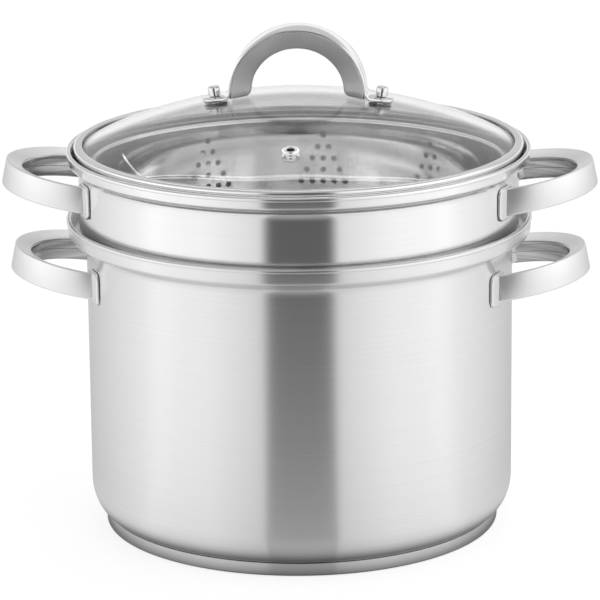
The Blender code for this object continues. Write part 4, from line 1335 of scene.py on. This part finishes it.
def make_world():
    """Light from all round, and what the steel and the glass mirror above the floor."""
    world = bpy.data.worlds.new("studio")
    bpy.context.scene.world = world
    world.use_nodes = True
    nodes = Nodes(world.node_tree)
    background = world.node_tree.nodes["Background"]
    place = nodes.add("ShaderNodeTexCoord")
    turn, split = studio_angle(nodes, place.outputs["Generated"], 0.0)
    tone = studio_tone(nodes, turn)
    height = nodes.math("DEGREES", nodes.math("ARCSINE", split.outputs["Z"]))
    behind = nodes.math("DEGREES", nodes.math("ARCTAN2", split.outputs["X"], split.outputs["Y"]))
    aside = nodes.math("ABSOLUTE", behind)
    low, high = BACK_TURNS
    panel = nodes.spread(height, *PANEL_FOOT, "SMOOTHSTEP")
    back = nodes.math("ADD", nodes.spread(height, *BACK_FOOT), panel)
    share = nodes.spread(aside, low, high, 1.0, 0.0, "SMOOTHSTEP")
    tone = nodes.mixed(share, nodes.math("MULTIPLY", tone, WORLD_GAIN), back)

    left, right = PANEL_SKEW
    square = nodes.math("POWER", nodes.math("MINIMUM", aside, PANEL_TURN), 2.0)
    skew = nodes.spread(behind, -PANEL_TURN, PANEL_TURN, left, right)
    bend = nodes.math("ADD", nodes.math("MULTIPLY", skew, square), PANEL_BEND)
    level = nodes.math("ADD", height, nodes.math("MULTIPLY", bend, square))
    tone = nodes.mixed(nodes.math("GREATER_THAN", level, PANEL_TOP), tone, OVERHEAD)
    within = nodes.math("LESS_THAN", aside, PANEL_TURN)
    top = nodes.math("MULTIPLY", nodes.math("COMPARE", level, PANEL_TOP, PANEL_BORDER), within)
    tone = nodes.mixed(top, tone, PANEL_BORDER_TONE)
    low, high = PANEL_SIDE_HEIGHTS
    across = nodes.math("ADD", height, nodes.math("MULTIPLY", behind, PANEL_SIDE[0]))
    side = nodes.math("COMPARE", across, PANEL_SIDE[1], PANEL_SIDE_BORDER)
    side = nodes.math("MULTIPLY", side, nodes.math("GREATER_THAN", height, low))
    side = nodes.math("MULTIPLY", side, nodes.math("LESS_THAN", height, high))
    tone = nodes.mixed(nodes.math("MULTIPLY", side, within), tone, PANEL_SIDE_TONE)
    straight = straight_view(nodes)[0]
    nodes.join(nodes.mixed(straight, tone, 1.0), background.inputs["Strength"])
    background.inputs["Color"].default_value = (1.0, 1.0, 1.0, 1.0)


def make_floor():
    """A white floor to the camera, and to the steel a floor with the studio's tones and a painted shadow round
    the pot.
    """
    mesh = new_mesh("floor", [(x, y, 0.0) for x, y in ((-1, -1), (1, -1), (1, 1), (-1, 1))], [(0, 1, 2, 3)])
    mesh.transform(Matrix.Scale(FLOOR_SIZE, 4) @ Matrix.Translation((0.0, 0.0, -GAP / FLOOR_SIZE)))
    floor = new_object("floor", mesh)
    material, nodes, shader = new_material("floor")
    nodes.tree.nodes.remove(shader)
    output = nodes.tree.nodes["Material Output"]
    place = nodes.add("ShaderNodeTexCoord")
    tone = studio_tone(nodes, studio_angle(nodes, place.outputs["Object"], FOCUS)[0])
    length = nodes.add("ShaderNodeVectorMath", operation="LENGTH")
    nodes.join(place.outputs["Object"], length.inputs[0])
    distance = length.outputs["Value"]
    # Painted shadow: the mirrored floor darkens towards the pot and under it
    tone = nodes.math("MULTIPLY", tone, ramp(nodes, distance, NEAR_SHADOW_TONES, FLOOR_REACH, 1.0))
    tone = nodes.math("MAXIMUM", tone, ramp(nodes, distance, STRIP_TONES, FLOOR_REACH, STRIP_PEAK))
    mirrored = nodes.add("ShaderNodeEmission")
    nodes.join(tone, mirrored.inputs["Strength"])
    diffuse = nodes.add("ShaderNodeBsdfDiffuse")
    diffuse.inputs["Color"].default_value = (FLOOR_ALBEDO, FLOOR_ALBEDO, FLOOR_ALBEDO, 1.0)
    glow = nodes.add("ShaderNodeEmission")
    straight, path = straight_view(nodes)
    nodes.join(nodes.math("MULTIPLY", straight, FLOOR_GLOW), glow.inputs["Strength"])
    plain = nodes.add("ShaderNodeAddShader")
    nodes.join(diffuse.outputs[0], plain.inputs[0])
    nodes.join(glow.outputs[0], plain.inputs[1])
    reflected = nodes.math("MULTIPLY", path.outputs["Is Glossy Ray"], nodes.math("SUBTRACT", 1.0, straight))
    mix = nodes.add("ShaderNodeMixShader")
    nodes.join(reflected, mix.inputs[0])
    nodes.join(plain.outputs[0], mix.inputs[1])
    nodes.join(mirrored.outputs[0], mix.inputs[2])
    nodes.join(mix.outputs[0], output.inputs["Surface"])
    mesh.materials.append(material)


def make_camera():
    data = bpy.data.cameras.new("camera")
    data.sensor_width = 36.0
    data.lens = CAMERA_LENS
    data.clip_start = 0.05
    data.clip_end = 50.0
    camera = new_object("camera", data)
    turn = Matrix.Rotation(CAMERA_AZIMUTH, 4, "Z")
    place = Matrix.Translation((0.0, -CAMERA_DISTANCE, CAMERA_HEIGHT))
    pitch = Matrix.Rotation(math.pi / 2 - CAMERA_PITCH, 4, "X")
    roll = Matrix.Rotation(CAMERA_ROLL, 4, "Z")
    camera.matrix_world = turn @ place @ pitch @ roll
    bpy.context.scene.camera = camera


def make_all():
    make_pot()
    make_loops("pot", "pot", pot_lines(True)[1], POT_RADIUS, POT_TOP - LOOP_BELOW_POT_RIM)
    make_insert()
    height = INSERT_TOP - LOOP_BELOW_INSERT_RIM
    make_loops("insert", "strainer_insert", insert_lines(True)[1], COLLAR_RADIUS, height)
    make_basket()
    make_lid()
    make_floor()
    make_world()
    make_camera()
    bpy.context.scene.view_settings.view_transform = "Standard"


make_all()
